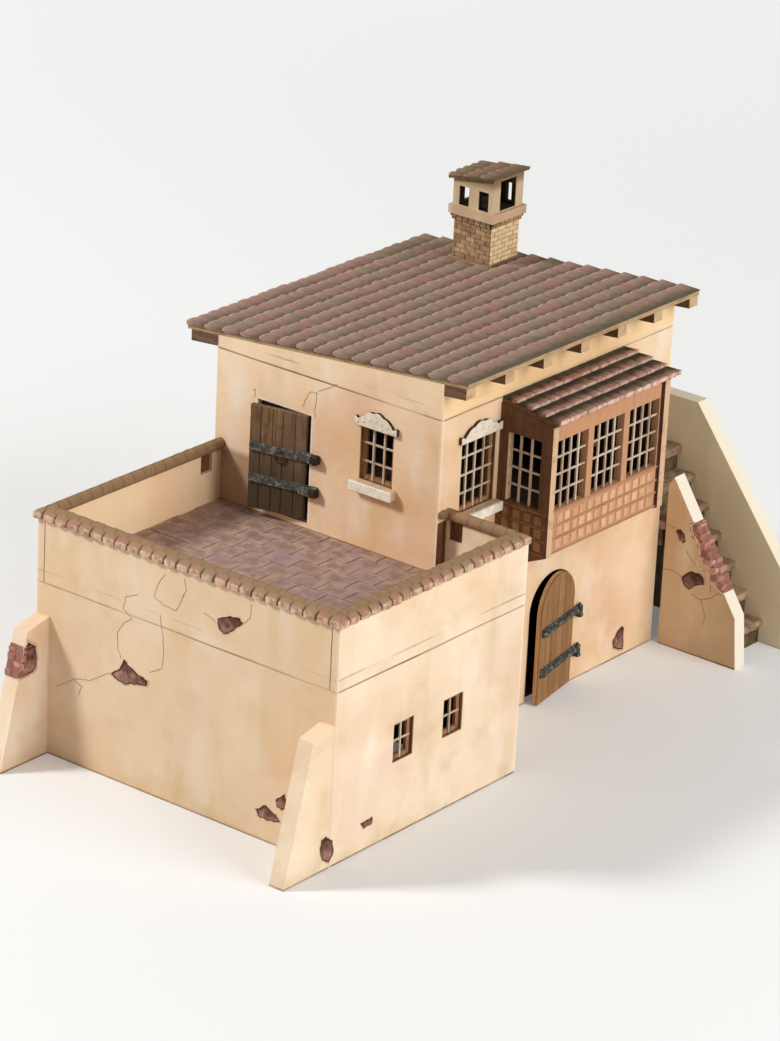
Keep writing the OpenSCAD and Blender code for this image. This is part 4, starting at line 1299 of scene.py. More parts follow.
@dataclass
class Windows:
    """Window bars, hoods and sills."""

    small: Pair = (10.5, 14.0)
    tall: Pair = (14.4, 20.0)
    wide: Pair = (19.0, 26.0)
    small_z: float = 27.0
    tall_z: float = 92.0
    wide_corner: Pair = (102.0, 85.5)
    terrace_y: float = 51.7
    block_x: Pair = (31.0, 57.5)
    back_tall_x: Pair = (114.5, 185.1)
    back_small_x: Pair = (116.5, 187.0)
    oriel_first: Pair = (127.4, 85.5)
    oriel_size: Pair = (17.6, 25.5)
    oriel_step: float = 20.8
    oriel_side: Pair = (13.6, 86.0)
    oriel_side_size: Pair = (14.0, 25.0)
    oriel_back: float = 0.7
    bar: float = 0.85
    bar_deep: float = 0.8
    hood_ear: float = 1.9
    hood_rise: float = 3.7
    hood_scroll: float = 0.55
    hood_lip: float = 0.5
    hood_out: Pair = (1.1, 1.55)
    hood_over: float = 2.0
    boss: float = 0.8
    sill_out: Pair = (2.6, 3.5)
    sill_high: float = 3.4

    def all(self) -> list[Window]:
        """Lists the windows in the plastered walls.

        Returns:
            The windows, in building order.
        """
        x, y, back = Facing.X, Facing.Y, Plan.DEPTH
        return [
            *(Window(y, 0.0, 1, (a, self.small_z), self.small, (2, 2)) for a in self.block_x),
            Window(y, Plan.FRONT, 1, self.wide_corner, self.wide, (4, 4)),
            Window(x, Plan.LEFT, 1, (self.terrace_y, self.tall_z), self.tall, (3, 3)),
            *(Window(y, back, -1, (a, self.tall_z), self.tall, (3, 3))
              for a in self.back_tall_x),
            *(Window(y, back, -1, (a, self.small_z), self.small, (2, 2))
              for a in self.back_small_x)]

    def oriel(self) -> list[Window]:
        """Lists the oriel's windows.

        Returns:
            Three front windows and two side windows.
        """
        a, z = self.oriel_first
        front = [Window(Facing.Y, Plan.ORIEL_FACE, 1, (a + i * self.oriel_step, z),
                        self.oriel_size, (4, 4), self.oriel_back) for i in range(3)]
        return front + [Window(Facing.X, at, side, self.oriel_side, self.oriel_side_size,
                               (3, 4), self.oriel_back)
                        for at, side in zip(Plan.ORIEL[:, 0], (1, -1))]

    def bars(self, window: Window, shape: Shape, rng: Random) -> None:
        """Adds a window's upright and level bars.

        Args:
            window: The opening.
            shape: The piece that the bars join.
            rng: Chooses the bars' tones and tiny shifts.
        """
        (a0, z0), (w, h), (cols, rows) = window.corner, window.size, window.panes
        near = window.at + window.side * window.back
        near, far = sorted((near, near + window.side * self.bar_deep))
        ups = a0 + w * np.arange(1, cols) / cols
        ups = ups + rng.uniform(-0.12, 0.12, len(ups))
        half, thin, shy = self.bar / 2, self.bar / 2 * 0.9, 0.12
        spans = [(a - half, a + half, z0, z0 + h, 0.0) for a in ups]
        spans += [(a0, a0 + w, z - thin, z + thin, shy)
                  for z in z0 + h * np.arange(1, rows) / rows]
        a, b, c, d, shy = np.array(spans).T
        shape.boxes(spots(window.facing, near + shy, a, c),
                    spots(window.facing, far - shy, b, d), rng.random(len(spans)))

    def lining(self, window: Window, shape: Shape, deep: Pair, thick: float) -> None:
        """Adds four boards round the inside of an opening.

        Args:
            window: The opening.
            shape: The piece that the boards join.
            deep: Where the boards begin and end behind the wall's face.
            thick: Thickness of the boards.
        """
        (a0, z0), (w, h) = window.corner, window.size
        a1, z1 = a0 + w, z0 + h
        a, b, c, d = np.array([(a0, a0 + thick, z0, z1), (a1 - thick, a1, z0, z1),
                               (a0 + thick, a1 - thick, z0, z0 + thick),
                               (a0 + thick, a1 - thick, z1 - thick, z1)]).T
        near, far = (window.at + window.side * p for p in deep)
        shape.boxes(spots(window.facing, near, a, c), spots(window.facing, far, b, d), 0.5)

    def build(self) -> None:
        """Builds the linings, frames and bars of all windows."""
        rng = np.random.default_rng(5)
        bars, frames, linings, oriel = Shape(), Shape(), Shape(), Shape()
        for window in self.all():
            self.bars(window, bars, rng)
            self.lining(window, linings, (0.3, 2.9), 0.15)
            self.lining(window, frames, (1.5, 2.8), 0.9)
        for window in self.oriel():
            self.bars(window, oriel, rng)
        bars.piece("window_bars", Paints.BARS, "bare_board", bevel=0.12)
        linings.piece("window_linings", Paints.REVEAL, "dark_timber")
        frames.piece("window_rims", Paints.FRAME, "dark_timber", bevel=0.1)
        oriel.piece("oriel_window_bars", Paints.BARS, "bare_board", bevel=0.12)
        self.trims()

    def hood(self, shape: Shape, edge: Shape, facing: Facing, at: float, side: int,
             span: Pair, z: float) -> None:
        """Adds a hood board with a curved top to a window.

        The board's top runs level over both ears and climbs between them:
        ear + rise * sin(pi s) to the power 0.9, plus a ripple of scrolls.
        Low bosses on the face stand for the carved scrolls.

        Args:
            shape: The painted face.
            edge: The scorched edge behind the face.
            facing: The axis across the wall.
            at: The wall's outer face.
            side: -1 where the hood stands at lower values, else 1.
            span: The hood's two ends.
            z: Its lower edge.
        """
        a, b = span
        s = np.linspace(0, 1, 41)
        climb = np.clip((s - 0.1) / 0.8, 0, 1)
        top = self.hood_ear + self.hood_rise * np.sin(math.pi * climb) ** 0.9 \
            + self.hood_scroll * np.abs(np.sin(3.5 * math.pi * climb)) \
            + self.hood_lip * (np.abs(s - 0.5) > 0.44)
        line = [(b, z), *zip(a + (b - a) * s[::-1], z + top[::-1]), (a, z)]
        mid, out = (at + side * part for part in self.hood_out)
        edge.plate(facing, (at, mid), line)
        shape.plate(facing, (mid, out), line)
        part = np.linspace(0.08, 0.92, 7)
        shape.domes(spots(facing, out, a + (b - a) * part, z + 0.55 * np.interp(part, s, top)),
                    self.boss, facing, side, 0.3)

    def trims(self) -> None:
        """Builds the hoods and the sills, which replace plain ones."""
        face, edge, tops = Shape(), Shape(), Shape()
        (x, z), (w, h), over = self.wide_corner, self.wide, self.hood_over
        places = [(Facing.Y, Plan.FRONT, -1, (x - over, x + w + 1.7), z, h)]
        places += [(facing, at, side, (a - over, a + self.tall[0] + over), self.tall_z,
                    self.tall[1])
                   for facing, at, side, a in ((Facing.X, Plan.LEFT, -1, self.terrace_y),
                                               (Facing.Y, Plan.DEPTH, 1, self.back_tall_x[0]),
                                               (Facing.Y, Plan.DEPTH, 1, self.back_tall_x[1]))]
        for facing, at, side, span, sill, high in places:
            self.hood(face, edge, facing, at, side, span, sill + high)
            out, tip = (at + side * part for part in self.sill_out)
            for shape, near, far in ((face, out, tip), (tops, at, out)):
                shape.boxes(spots(facing, near, span[0], sill - self.sill_high),
                            spots(facing, far, span[1], sill), 0.6)
        face.piece("hood_and_sill_faces", Paints.TRIM, "pale_trim",
                   replaces=("window_surrounds",), bevel=0.3)
        edge.piece("hood_edges", Paints.SCORCHED, "pale_trim")
        tops.piece("sill_tops", Paints.POST, "pale_trim", bevel=0.15)


# ---- doors


@dataclass
class Doors:
    """Plank leaves, nails, ring handle and hinge brackets."""

    plank_t: float = 0.7
    leaf_t: float = 2.0
    arch_gap: float = 0.13
    upper_gap: float = 0.1
    arch_mid: float = 160.2
    arch_r: float = 12.9
    arch_spring: float = 33.8
    arch_foot: float = 0.4
    arch_y: float = 31.3
    arch_pivot: Pair = (175.5, 30.2)
    arch_turn: float = 10.0
    arch_straps: Pair = (12.5, 28.0)
    rod_x: Pair = (149.2, 173.8)
    rod_r: float = 0.95
    rod_out: float = 1.0
    rod_sway: float = 0.12
    rod_end: float = 1.75
    upper_z: Pair = (70.5, 108.6)
    terrace_y: Pair = (88.7, 110.7)
    terrace_x: float = 90.3
    terrace_pivot: Pair = (89.2, 84.7)
    terrace_turn: float = 12.0
    terrace_opening: Pair = (87.75, 111.65)
    opening_z: Pair = (69.05, 108.95)
    landing_y: Pair = (44.5, 64.5)
    landing_x: float = 223.7
    straps: Pair = (82.0, 93.5)
    nail_r: float = 0.4
    nail_out: float = 0.7
    nail_ends: Pair = (1.6, 1.4)
    ring: Pair = (98.5, 91.6)
    ring_r: float = 2.0
    ring_wire: float = 0.32
    ring_out: float = 0.55
    boss: float = 0.9
    bearing_y: tuple[float, ...] = (82.9, 85.4, 90.4)
    bearing_out: float = 2.6
    bearing_deep: float = 2.4
    bearing_half: float = 1.6
    stop_over: float = 0.1
    # A dark board behind the terrace doorway, as painted shade.
    backing: Pair = (2.3, 2.7)
    edge_out: float = 0.06

    def arched(self) -> None:
        """Builds the arched leaf as six planks on a dark board with two rods.

        A plank's top follows spring + the square root of r squared less
        the squared distance from the arch's middle.
        """
        rng = np.random.default_rng(3)
        mid, r, spring, foot = self.arch_mid, self.arch_r, self.arch_spring, self.arch_foot
        joint = self.arch_y + self.plank_t
        planks, board, rods = Shape(), Shape(), Shape()
        bounds = np.linspace(mid - r, mid + r, 7)
        bounds[1:-1] += rng.uniform(-0.25, 0.25, 5)
        for a, b in zip(bounds[:-1], bounds[1:]):
            x = np.linspace(a + self.arch_gap, b - self.arch_gap, 6)
            top = spring + np.sqrt(np.maximum(r ** 2 - (x - mid) ** 2, 0))
            planks.plate(Facing.Y, (self.arch_y, joint),
                         [(x[0], foot), (x[-1], foot), *zip(x[::-1], top[::-1])], rng.random())
        angle = np.linspace(0, math.pi, 25)
        board.plate(Facing.Y, (joint, self.arch_y + self.leaf_t),
                    [(mid - r, foot), (mid + r, foot),
                     *zip(mid + r * np.cos(angle), spring + r * np.sin(angle))])
        x = np.linspace(*self.rod_x, 40)
        for z in self.arch_straps:
            sway = self.rod_sway * np.sin(x * 1.1 + z)
            rods.tube(spots(Facing.Y, self.arch_y - self.rod_out, x, z + sway), self.rod_r,
                      (0, 1, 0))
            rods.domes((x[0] + 0.4, self.arch_y - 0.8, z), self.rod_end, Facing.Y, -1, 0.8)
        for shape in (planks, board, rods):
            shape.turn(self.arch_pivot, self.arch_turn)
        planks.piece("arched_planks", Paints.ARCH_PLANK, "door_planks", body=Body.LEAF,
                     bevel=0.12)
        board.piece("arched_board", Paints.LEAF_EDGE, "door_planks", body=Body.LEAF,
                    replaces=("arched_door",))
        rods.piece("arched_door_rods", Paints.IRON, "grey_iron", body=Body.LEAF, smooth=60)

    def upper(self) -> None:
        """Builds the terrace and the landing leaves as planks with nails."""
        rng = np.random.default_rng(8)
        z0, z1 = self.upper_z
        planks, nails, handle = Shape(), Shape(), Shape()
        for (y0, y1), x, side, turn, pivot in (
                (self.terrace_y, self.terrace_x, 1, self.terrace_turn, self.terrace_pivot),
                (self.landing_y, self.landing_x, -1, 0.0, (0.0, 0.0))):
            part, heads = Shape(), Shape()
            bounds = np.linspace(y0, y1, 6)
            bounds[1:-1] += rng.uniform(-0.3, 0.3, 4)
            joint = x + side * self.plank_t
            part.boxes(spots(Facing.X, x, bounds[:-1] + self.upper_gap, z0),
                       spots(Facing.X, joint, bounds[1:] - self.upper_gap, z1), rng.random(5))
            part.boxes([joint, y0, z0], [x + side * self.leaf_t, y1, z1])
            first, last = self.nail_ends
            heads.domes([(x - side * self.nail_out, y, z) for z in self.straps
                         for y in np.linspace(y0 + first, y1 - last, 5)],
                        self.nail_r, Facing.X, -side)
            planks.join(part.turn(pivot, turn))
            nails.join(heads.turn(pivot, turn))
        planks.piece("upper_door_planks", Paints.PLANK, "door_planks",
                     replaces=("upper_doors",), bevel=0.1)
        nails.piece("upper_door_nails", Paints.SCORCHED, "grey_iron", smooth=60)
        angle = np.linspace(0, 2 * math.pi, 28, endpoint=False)
        (y, z), r = self.ring, self.ring_r
        handle.tube(spots(Facing.X, self.terrace_x - self.ring_out, y + r * np.cos(angle),
                          z + r * np.sin(angle)), self.ring_wire, (1, 0, 0), 8, loop=True)
        handle.domes((self.terrace_x - self.boss, y, z + r + 0.2), self.boss, Facing.X, -1, 0.9)
        handle.turn(self.terrace_pivot, self.terrace_turn).piece(
            "terrace_door_ring", Paints.SCORCHED, "grey_iron", smooth=60)

    def brackets(self) -> None:
        """Builds the terrace door's bearings, a dark board in the doorway as painted shade, and
        pale edges, partly wear and partly painted highlight.
        """
        pale, dark = Shape(), Shape()
        x0, x1 = self.terrace_x - self.bearing_out, self.terrace_x
        (a, b, c), half, over = self.bearing_y, self.bearing_half, self.stop_over
        for z in (self.straps[0] - 0.4, self.straps[1] + 0.4):
            pale.boxes([x0, b, z - half], [x0 + self.bearing_deep, c, z + half], 0.8)
            dark.boxes([x0 - over, a, z - half + over], [x1 + over, b, z + half - over])
        pale.piece("terrace_door_bearings", Paints.IRON, "grey_iron", bevel=0.3)
        dark.piece("terrace_door_stops", Paints.BACKING, "grey_iron", bevel=0.3)
        (y0, y1), (z0, z1), wall = self.terrace_opening, self.opening_z, Plan.LEFT
        near, far = self.backing
        # Painted shade: a dark board behind the open terrace door.
        Shape().boxes([wall + near, y0, z0], [wall + far, y1, z1]).piece(
            "terrace_door_shade_board", Paints.DEEP_SHADE, "dark_timber")
        # Pale strips round the terrace doorway: partly wear, partly painted highlight.
        out = wall - self.edge_out
        Shape().boxes([[out, y0 - 0.7, z1], [out, y0 - 0.7, z0], [wall + 0.1, y0, z1 - 0.3]],
                      [[wall, y1 + 0.2, z1 + 0.45], [wall, y0, z1],
                       [wall + 2.2, y1, z1]], 1.0).piece(
            "terrace_door_edges", Paints.EDGE, "plaster")

    def build(self) -> None:
        """Builds all leaves and their fittings."""
        self.arched()
        self.upper()
        self.brackets()


# ---- stone pieces


def rounded(depth: Pair, height: Pair, r: float) -> np.ndarray:
    """Draws the outline of a slab with a round nose, seen from its end.

    Args:
        depth: Y of the nose and of the back.
        height: Z of the lower and the upper face.
        r: Radius of the nose's two edges.

    Returns:
        The outline's (y, z) points.
    """
    (y0, y1), (z0, z1) = depth, height
    angle = np.radians([90, 120, 150, 180, 210, 240, 270])
    middle = np.where(angle <= math.pi, z1 - r, z0 + r)
    nose = np.stack([y0 + r + r * np.cos(angle), middle + r * np.sin(angle)], -1)
    return np.concatenate([nose, [[y1, z0], [y1, z1], [(y0 + y1) / 2, z1]]])


@dataclass
class Steps:
    """Worn stair treads with wavy noses."""

    count: int = 6
    first: float = 0.9
    run: float = 6.85
    over: float = 3.6
    rise: float = 9.5
    thick: float = 3.0
    inner: float = 229.5
    wall: float = 223.5
    right: float = 250.5
    wall_end: float = 28.2

    def build(self) -> None:
        """Builds the treads, which reach the house behind the outer wall's end."""
        shape = Shape()
        rng = np.random.default_rng(12)
        for k in range(self.count):
            y0 = self.first + k * self.run
            y1 = y0 + self.run + self.over
            beside = y0 < self.wall_end < y1 or y1 < self.wall_end + 4
            self.slab(shape, (self.inner if beside else self.wall, self.right), (y0, y1),
                      self.rise * (k + 1), rng)
        shape.piece("worn_treads", Paints.STEP, "stair_stone", replaces=("stair_treads",),
                    smooth=50)

    def slab(self, shape: Shape, span: Pair, depth: Pair, top: float, rng: Random) -> None:
        """Adds one worn slab.

        Its nose sways by two sines of the distance along it, and its top
        dips by the squared sine of half a turn over its whole width.

        Args:
            shape: The piece that it joins.
            span: Its ends along X.
            depth: Its nose and its back along Y.
            top: Height of its upper face.
            rng: Chooses the waves and the tone.
        """
        x = np.linspace(*span, 30)
        shift = rng.uniform(0, 6, 4)
        part = (x - span[0]) / (span[1] - span[0])
        sway = 0.22 * np.sin(x * 0.55 + shift[0]) + 0.16 * np.sin(x * 1.3 + shift[1])
        dip = 0.3 * np.sin(math.pi * part) ** 2 + 0.1 * np.sin(x * 0.9 + shift[2])
        y, z = rounded(depth, (top - self.thick, top), 0.8).T
        nose, high = y < depth[0] + 1.7, z > top - self.thick / 2
        rings = spots(Facing.X, x[:, None], y + nose * sway[:, None],
                      z - high * np.abs(dip)[:, None])
        marks = np.zeros(rings.shape)
        marks[..., 2] = rng.random()
        shape.sweep(rings, marks)


@dataclass
class PavingSlabs:
    """Slabs laid on the terrace in a running bond."""

    slab: Pair = (12.4, 8.2)
    joint: float = 0.35
    thick: float = 0.45
    least: float = 0.6
    corner_end: float = 95.5

    def build(self) -> None:
        """Builds the terrace's slabs, whose tops and tones vary a little."""
        rng = np.random.default_rng(21)
        z, (long, wide), half = Plan.DECK_Z, self.slab, self.joint / 2
        x0, x1, y1 = Plan.WALL, Plan.LEFT, Plan.DEPTH - Plan.WALL
        low, high = [], []
        for row in range(int(math.ceil((x1 - x0) / wide))):
            for c in np.arange(x0 - (row % 2) * long / 2, y1, long):
                low.append((x0 + row * wide, c, z))
                high.append((x0 + (row + 1) * wide, c + long,
                             z + self.thick + rng.uniform(-0.08, 0.08)))
        low, high = np.array(low), np.array(high)
        low[:, :2] = np.maximum(low[:, :2] + half, (x0, x0))
        high[:, :2] = np.minimum(high[:, :2] - half, (x1, y1))
        good = (high[:, :2] - low[:, :2] > self.least).all(axis=1)
        Shape().boxes(low[good], high[good], rng.random(int(good.sum()))).piece(
            "terrace_slabs", Paints.PAVING, "paving", bevel=0.18)
        begin = np.arange(x0, Plan.FRONT, wide) + half
        end = np.minimum(begin + wide - 2 * half, Plan.FRONT)
        Shape().boxes(spots(Facing.X, x1 + half, begin, z),
                      spots(Facing.X, self.corner_end, end, z + self.thick),
                      rng.random(len(begin))).piece(
            "terrace_corner_slabs", Paints.PAVING, "paving", bevel=0.18)


@dataclass
class Chimney:
    """Brick courses, corbels and tiled cap of the chimney."""

    brick: Pair = (4.4, 1.75)
    joint: float = 0.24
    proud: float = 0.25
    head: float = 2.4
    corbel: Pair = (2.7, 1.25)
    corbel_out: Pair = (1.2, 0.75)
    cap_fall: float = 9.0
    cap_in: float = 0.3
    cap_tile: Barrel = Barrel(4.3, (0.3, 1.0), (0.2, 0.45), 0.4)

    def face(self, facing: Facing, at: float, side: int, span: Pair, shape: Shape,
             rng: Random) -> None:
        """Adds one face's bricks, from its top down to the roof.

        Args:
            facing: The axis across the face.
            at: The face's place on that axis.
            side: 1 or -1, where the bricks stand out.
            span: The face's ends.
            shape: The piece that the bricks join.
            rng: Chooses tones and small shifts.
        """
        def foot(along: float) -> float:
            """Height at which bricks end at a place along the face."""
            return roof_top(along if facing is Facing.X else at) + 0.2

        long, tall = self.brick
        top, half = Plan.SHAFT[1][2] - self.head, self.joint / 2
        # Bricks on faces that look along X take dark tones, those on faces along Y light ones.
        tones = (0.05, 0.35) if facing is Facing.X else (0.7, 1.0)
        for row in range(int((top - min(map(foot, span))) / tall) + 1):
            z1 = top - row * tall - half
            z0 = z1 - tall + self.joint
            for a in np.arange(span[0] - (row % 2) * long / 2, span[1], long):
                lo, hi = max(a + half, span[0]), min(a + long - half, span[1])
                lowest = max(foot(lo), foot(hi))
                if hi - lo < 0.5 or z1 < lowest + 0.3:
                    continue
                out = at + side * (self.proud + rng.uniform(-0.1, 0.1))
                shape.boxes(spots(facing, at, lo, max(z0, lowest)),
                            spots(facing, out, hi, z1), rng.uniform(*tones))

    def shaft(self, rng: Random) -> None:
        """Builds the bricks and two rows of corbels under the collar.

        Args:
            rng: Chooses tones and small shifts.
        """
        (x0, y0, _), (x1, y1, top) = Plan.SHAFT
        bricks, corbels = Shape(), Shape()
        for facing, ends, span in ((Facing.X, (x0, x1), (y0, y1)),
                                   (Facing.Y, (y0, y1), (x0, x1))):
            for at, side in zip(ends, (-1, 1)):
                self.face(facing, at, side, span, bricks, rng)
        bricks.piece("chimney_bricks", Paints.BRICK, "chimney_brick", bevel=0.14)
        long, tall = self.corbel
        for row, out in enumerate(self.corbel_out):
            z1 = top - row * tall
            for facing, (a0, a1), (c0, c1) in ((Facing.Y, (x0, x1), (y0, y1)),
                                               (Facing.X, (y0, y1), (x0, x1))):
                for a in np.arange(a0 - out, a1 + out - 0.5, long):
                    b = min(a + long - 0.25, a1 + out)
                    for near, far in ((c0 - out, c0), (c1, c1 + out)):
                        corbels.boxes(spots(facing, near, a, z1 - tall + 0.15),
                                      spots(facing, far, b, z1), rng.random())
        corbels.piece("chimney_corbels", Paints.CORBEL, "chimney_brick", bevel=0.15)

    def cap(self) -> None:
        """Builds the cap's board and its three courses of short tiles."""
        (x0, y0, _), (x1, y1, top) = Plan.CAP
        inset = self.cap_in
        drop = (y1 - y0) * math.tan(math.radians(self.cap_fall))
        Shape().board((x0 + inset, x1 - inset), (y0 + inset, top), (y1 - inset, top - drop),
                      (2.0, 1.0)).piece("chimney_cap_board", Paints.REVEAL, "roof_tiles")
        shape = Shape()
        self.cap_tile.courses(shape, 70, (x0, x1), (y0, top - 1.1), y1, self.cap_fall, 3,
                              lap=0.7, over=0.0, stagger=2.0)
        shape.piece("chimney_cap_tiles", Paints.CAP, "roof_tiles",
                    replaces=("chimney_cap",), smooth=50)

    def build(self) -> None:
        """Builds the shaft's bricks, the corbels and the cap."""
        self.shaft(np.random.default_rng(31))
        self.cap()


@dataclass
class OrielTrim:
    """Raised blocks, rails and dark strips on the oriel's apron, painted shade of the groove at
    the post.
    """

    low: float = 69.5
    top: float = 85.5
    block: Pair = (2.9, 3.3)
    step: float = 4.4
    rows: tuple[float, ...] = (1.7, 6.4, 11.0)
    rails: tuple[float, ...] = (0.0, 5.25, 9.9, 15.0)
    rail: float = 0.8
    block_out: float = 0.28
    rail_out: float = 0.2
    post: float = 3.0
    side_count: int = 4

    def build(self) -> None:
        """Builds the rows of blocks, the rails and the dark strips, painted shade of the groove
        at the post.
        """
        rng = np.random.default_rng(17)
        blocks, rails, sides = Shape(), Shape(), Shape()
        face, wall, eave = Plan.ORIEL_FACE, Plan.FRONT, Plan.EAVE_Z - 4
        flanks = tuple(zip(Plan.ORIEL[:, 0], (-1, 1)))
        x0, x1 = flanks[0][0] + self.post, flanks[1][0] - self.post
        count = int((x1 - x0 - 1.5) / self.step)
        first = (x0 + x1) / 2 - (count - 1) / 2 * self.step
        (wide, tall), half = self.block, self.block[0] / 2
        for z in (self.low + row for row in self.rows):
            for c in (first + i * self.step for i in range(count)):
                blocks.boxes([c - half, face - self.block_out, z],
                             [c + half, face, z + tall], rng.random())
            for at, side in flanks:
                for i in range(self.side_count):
                    c = face + 3.2 + i * self.step * 1.06
                    sides.boxes([at, c - half, z],
                                [at + side * self.block_out, c + half, z + tall],
                                rng.random())
        for z in (self.low + level for level in self.rails):
            rails.boxes([x0, face - self.rail_out, z], [x1, face, z + self.rail])
            for at, side in flanks:
                sides.boxes([at, face + 0.2, z],
                            [at + side * self.rail_out, wall, z + self.rail])
        blocks.piece("oriel_blocks", Paints.RAISED, "red_timber", bevel=0.25)
        rails.piece("oriel_rails", Paints.RAIL, "red_timber", bevel=0.12)
        sides.piece("oriel_side_blocks", Paints.SIDE_BLOCK, "red_timber", bevel=0.2)
        # Painted shade: dark strips for the groove between the front panel and the right post.
        Shape().boxes([[x1 - 0.9, face - 0.12, self.low], [x1 - 0.3, face + 3.1, self.top]],
                      [[x1, face, eave], [x1 - 0.1, wall, eave]]).piece(
            "oriel_groove_shade", Paints.DEEP_SHADE, "red_timber")


# ---- damage


END_HOLES = (
    ((90.9, 45.7), (88.7, 44.2), (84.6, 42.2), (80.1, 41.4), (80.5, 39.1), (84.4, 38.6),
     (90.6, 36.6), (95.1, 37.8), (96.4, 38.9), (92.6, 41.8)),
    ((50.8, 73.1), (45.7, 75.6), (41.5, 76.0), (40.0, 74.6), (44.6, 70.3), (48.0, 68.2),
     (50.1, 69.7)),
    ((31.7, 10.7), (27.5, 13.3), (23.1, 11.4), (21.3, 9.1), (26.4, 8.1), (30.7, 8.4)),
    ((23.4, 16.7), (19.8, 19.9), (18.9, 15.8), (20.7, 13.7), (22.9, 14.4)))
REAR_HOLES = (
    ((-12.4, 43.0), (-10.7, 45.0), (-6.9, 42.2), (-6.4, 38.1), (-6.8, 34.1), (-8.0, 33.1),
     (-12.3, 32.7), (-14.6, 33.4)),)
FRONT_HOLES = (
    ((-2.4, 12.3), (0.9, 9.6), (1.6, 5.0), (-0.3, 2.1), (-3.9, 4.1), (-5.2, 8.2),
     (-4.8, 11.7)),
    ((15.3, 10.6), (21.5, 11.0), (21.3, 8.4), (17.5, 8.0)))
HOUSE_HOLES = (
    ((199.9, 4.3), (199.2, 7.7), (201.1, 9.9), (204.0, 11.6), (205.7, 10.8),
     (206.0, 2.0)),)
STAIR_HOLES = (
    ((23.8, 46.0), (21.8, 46.9), (20.0, 45.6), (19.3, 42.8), (20.7, 41.9), (22.2, 43.2)),
    ((19.9, 28.7), (16.7, 31.8), (13.0, 32.3), (10.6, 31.5), (10.0, 28.7), (13.9, 27.2),
     (16.5, 24.9), (19.0, 26.2)))
END_CRACKS = (
    ((85.5, 71.0), (90.7, 68.6), (91.8, 63.9), (87.9, 61.6), (91.3, 59.0), (94.2, 54.5),
     (93.7, 48.8), (92.1, 45.6)),
    ((75.7, 66.8), (74.2, 60.0), (73.5, 53.7), (74.1, 47.7), (79.3, 44.6)),
    ((74.0, 81.7), (76.9, 77.2), (78.5, 72.4), (74.1, 70.6), (68.8, 70.3), (66.4, 74.7),
     (65.6, 77.1)),
    ((65.8, 82.7), (64.5, 78.8), (66.4, 76.1)),
    ((96.1, 39.3), (101.4, 36.1), (105.8, 33.2), (112.1, 31.9), (121.1, 26.1)),
    ((113.0, 30.9), (109.3, 29.8), (111.0, 26.3)),
    ((56.8, 73.3), (53.3, 72.3), (50.7, 71.0)),
    ((36.7, 82.4), (37.3, 77.3), (39.7, 74.7)))
SIDE_CRACKS = (
    ((92.0, 111.1), (90.5, 114.3), (88.7, 117.5), (86.0, 117.8), (85.3, 117.5)),
    ((86.0, 117.6), (86.0, 114.2), (86.7, 111.2), (85.9, 108.6)),
    ((85.2, 118.6), (81.1, 120.7), (77.1, 123.5)),
    ((114.1, 111.3), (112.9, 111.7), (113.4, 108.7)))
STAIR_CRACKS = (
    ((18.8, 40.0), (16.7, 37.0), (14.6, 35.2)),
    ((28.2, 29.5), (25.5, 30.0), (21.7, 29.7), (19.9, 28.7)),
    ((15.0, 23.5), (10.8, 22.6), (7.5, 24.0), (2.5, 28.0)),
    ((10.8, 22.6), (9.5, 19.1), (8.6, 16.9), (9.0, 13.2)),
    ((7.3, 29.2), (6.7, 26.6)),
    ((28.0, 47.2), (24.2, 46.5)))
END_JOINTS = (((3.1, 62.8), (3.0, 85.2)), ((127.5, 62.8), (127.4, 85.2)))
BROKEN_BUTTRESS = (
    (-12.6, 43.5), (-10.7, 45.5), (-6.6, 42.3), (-6.0, 38.1), (-6.4, 33.8), (-7.9, 32.8),
    (-12.3, 32.3), (-15.6, 32.6))
BROKEN_STAIR = (
    (18.4, 51.0), (16.0, 51.0), (17.3, 50.4), (16.7, 47.2), (13.3, 43.4), (12.7, 40.0),
    (13.7, 36.0), (13.2, 34.4), (9.1, 34.4), (8.4, 30.4), (5.3, 29.8), (1.7, 27.6),
    (1.2, 28.4))


def jagged(line: Sequence[Pair], parts: int, shake: float, rng: Random,
           closed: bool = True) -> np.ndarray:
    """Divides a line's stretches and shakes the new points a little.

    Args:
        line: The line's points.
        parts: Number of parts of each stretch.
        shake: How far a new point may move.
        rng: Chooses the moves.
        closed: Whether the line ends where it begins.

    Returns:
        All points, old and new.
    """
    line = np.array(line)
    before, after = (line, np.roll(line, -1, 0)) if closed else (line[:-1], line[1:])
    step = np.linspace(0, 1, parts, endpoint=False)[None, :, None]
    points = before[:, None] * (1 - step) + after[:, None] * step
    points[:, 1:] += rng.uniform(-shake, shake, points[:, 1:].shape)
    flat = points.reshape(-1, 2)
    return flat if closed else np.concatenate([flat, line[-1:]])


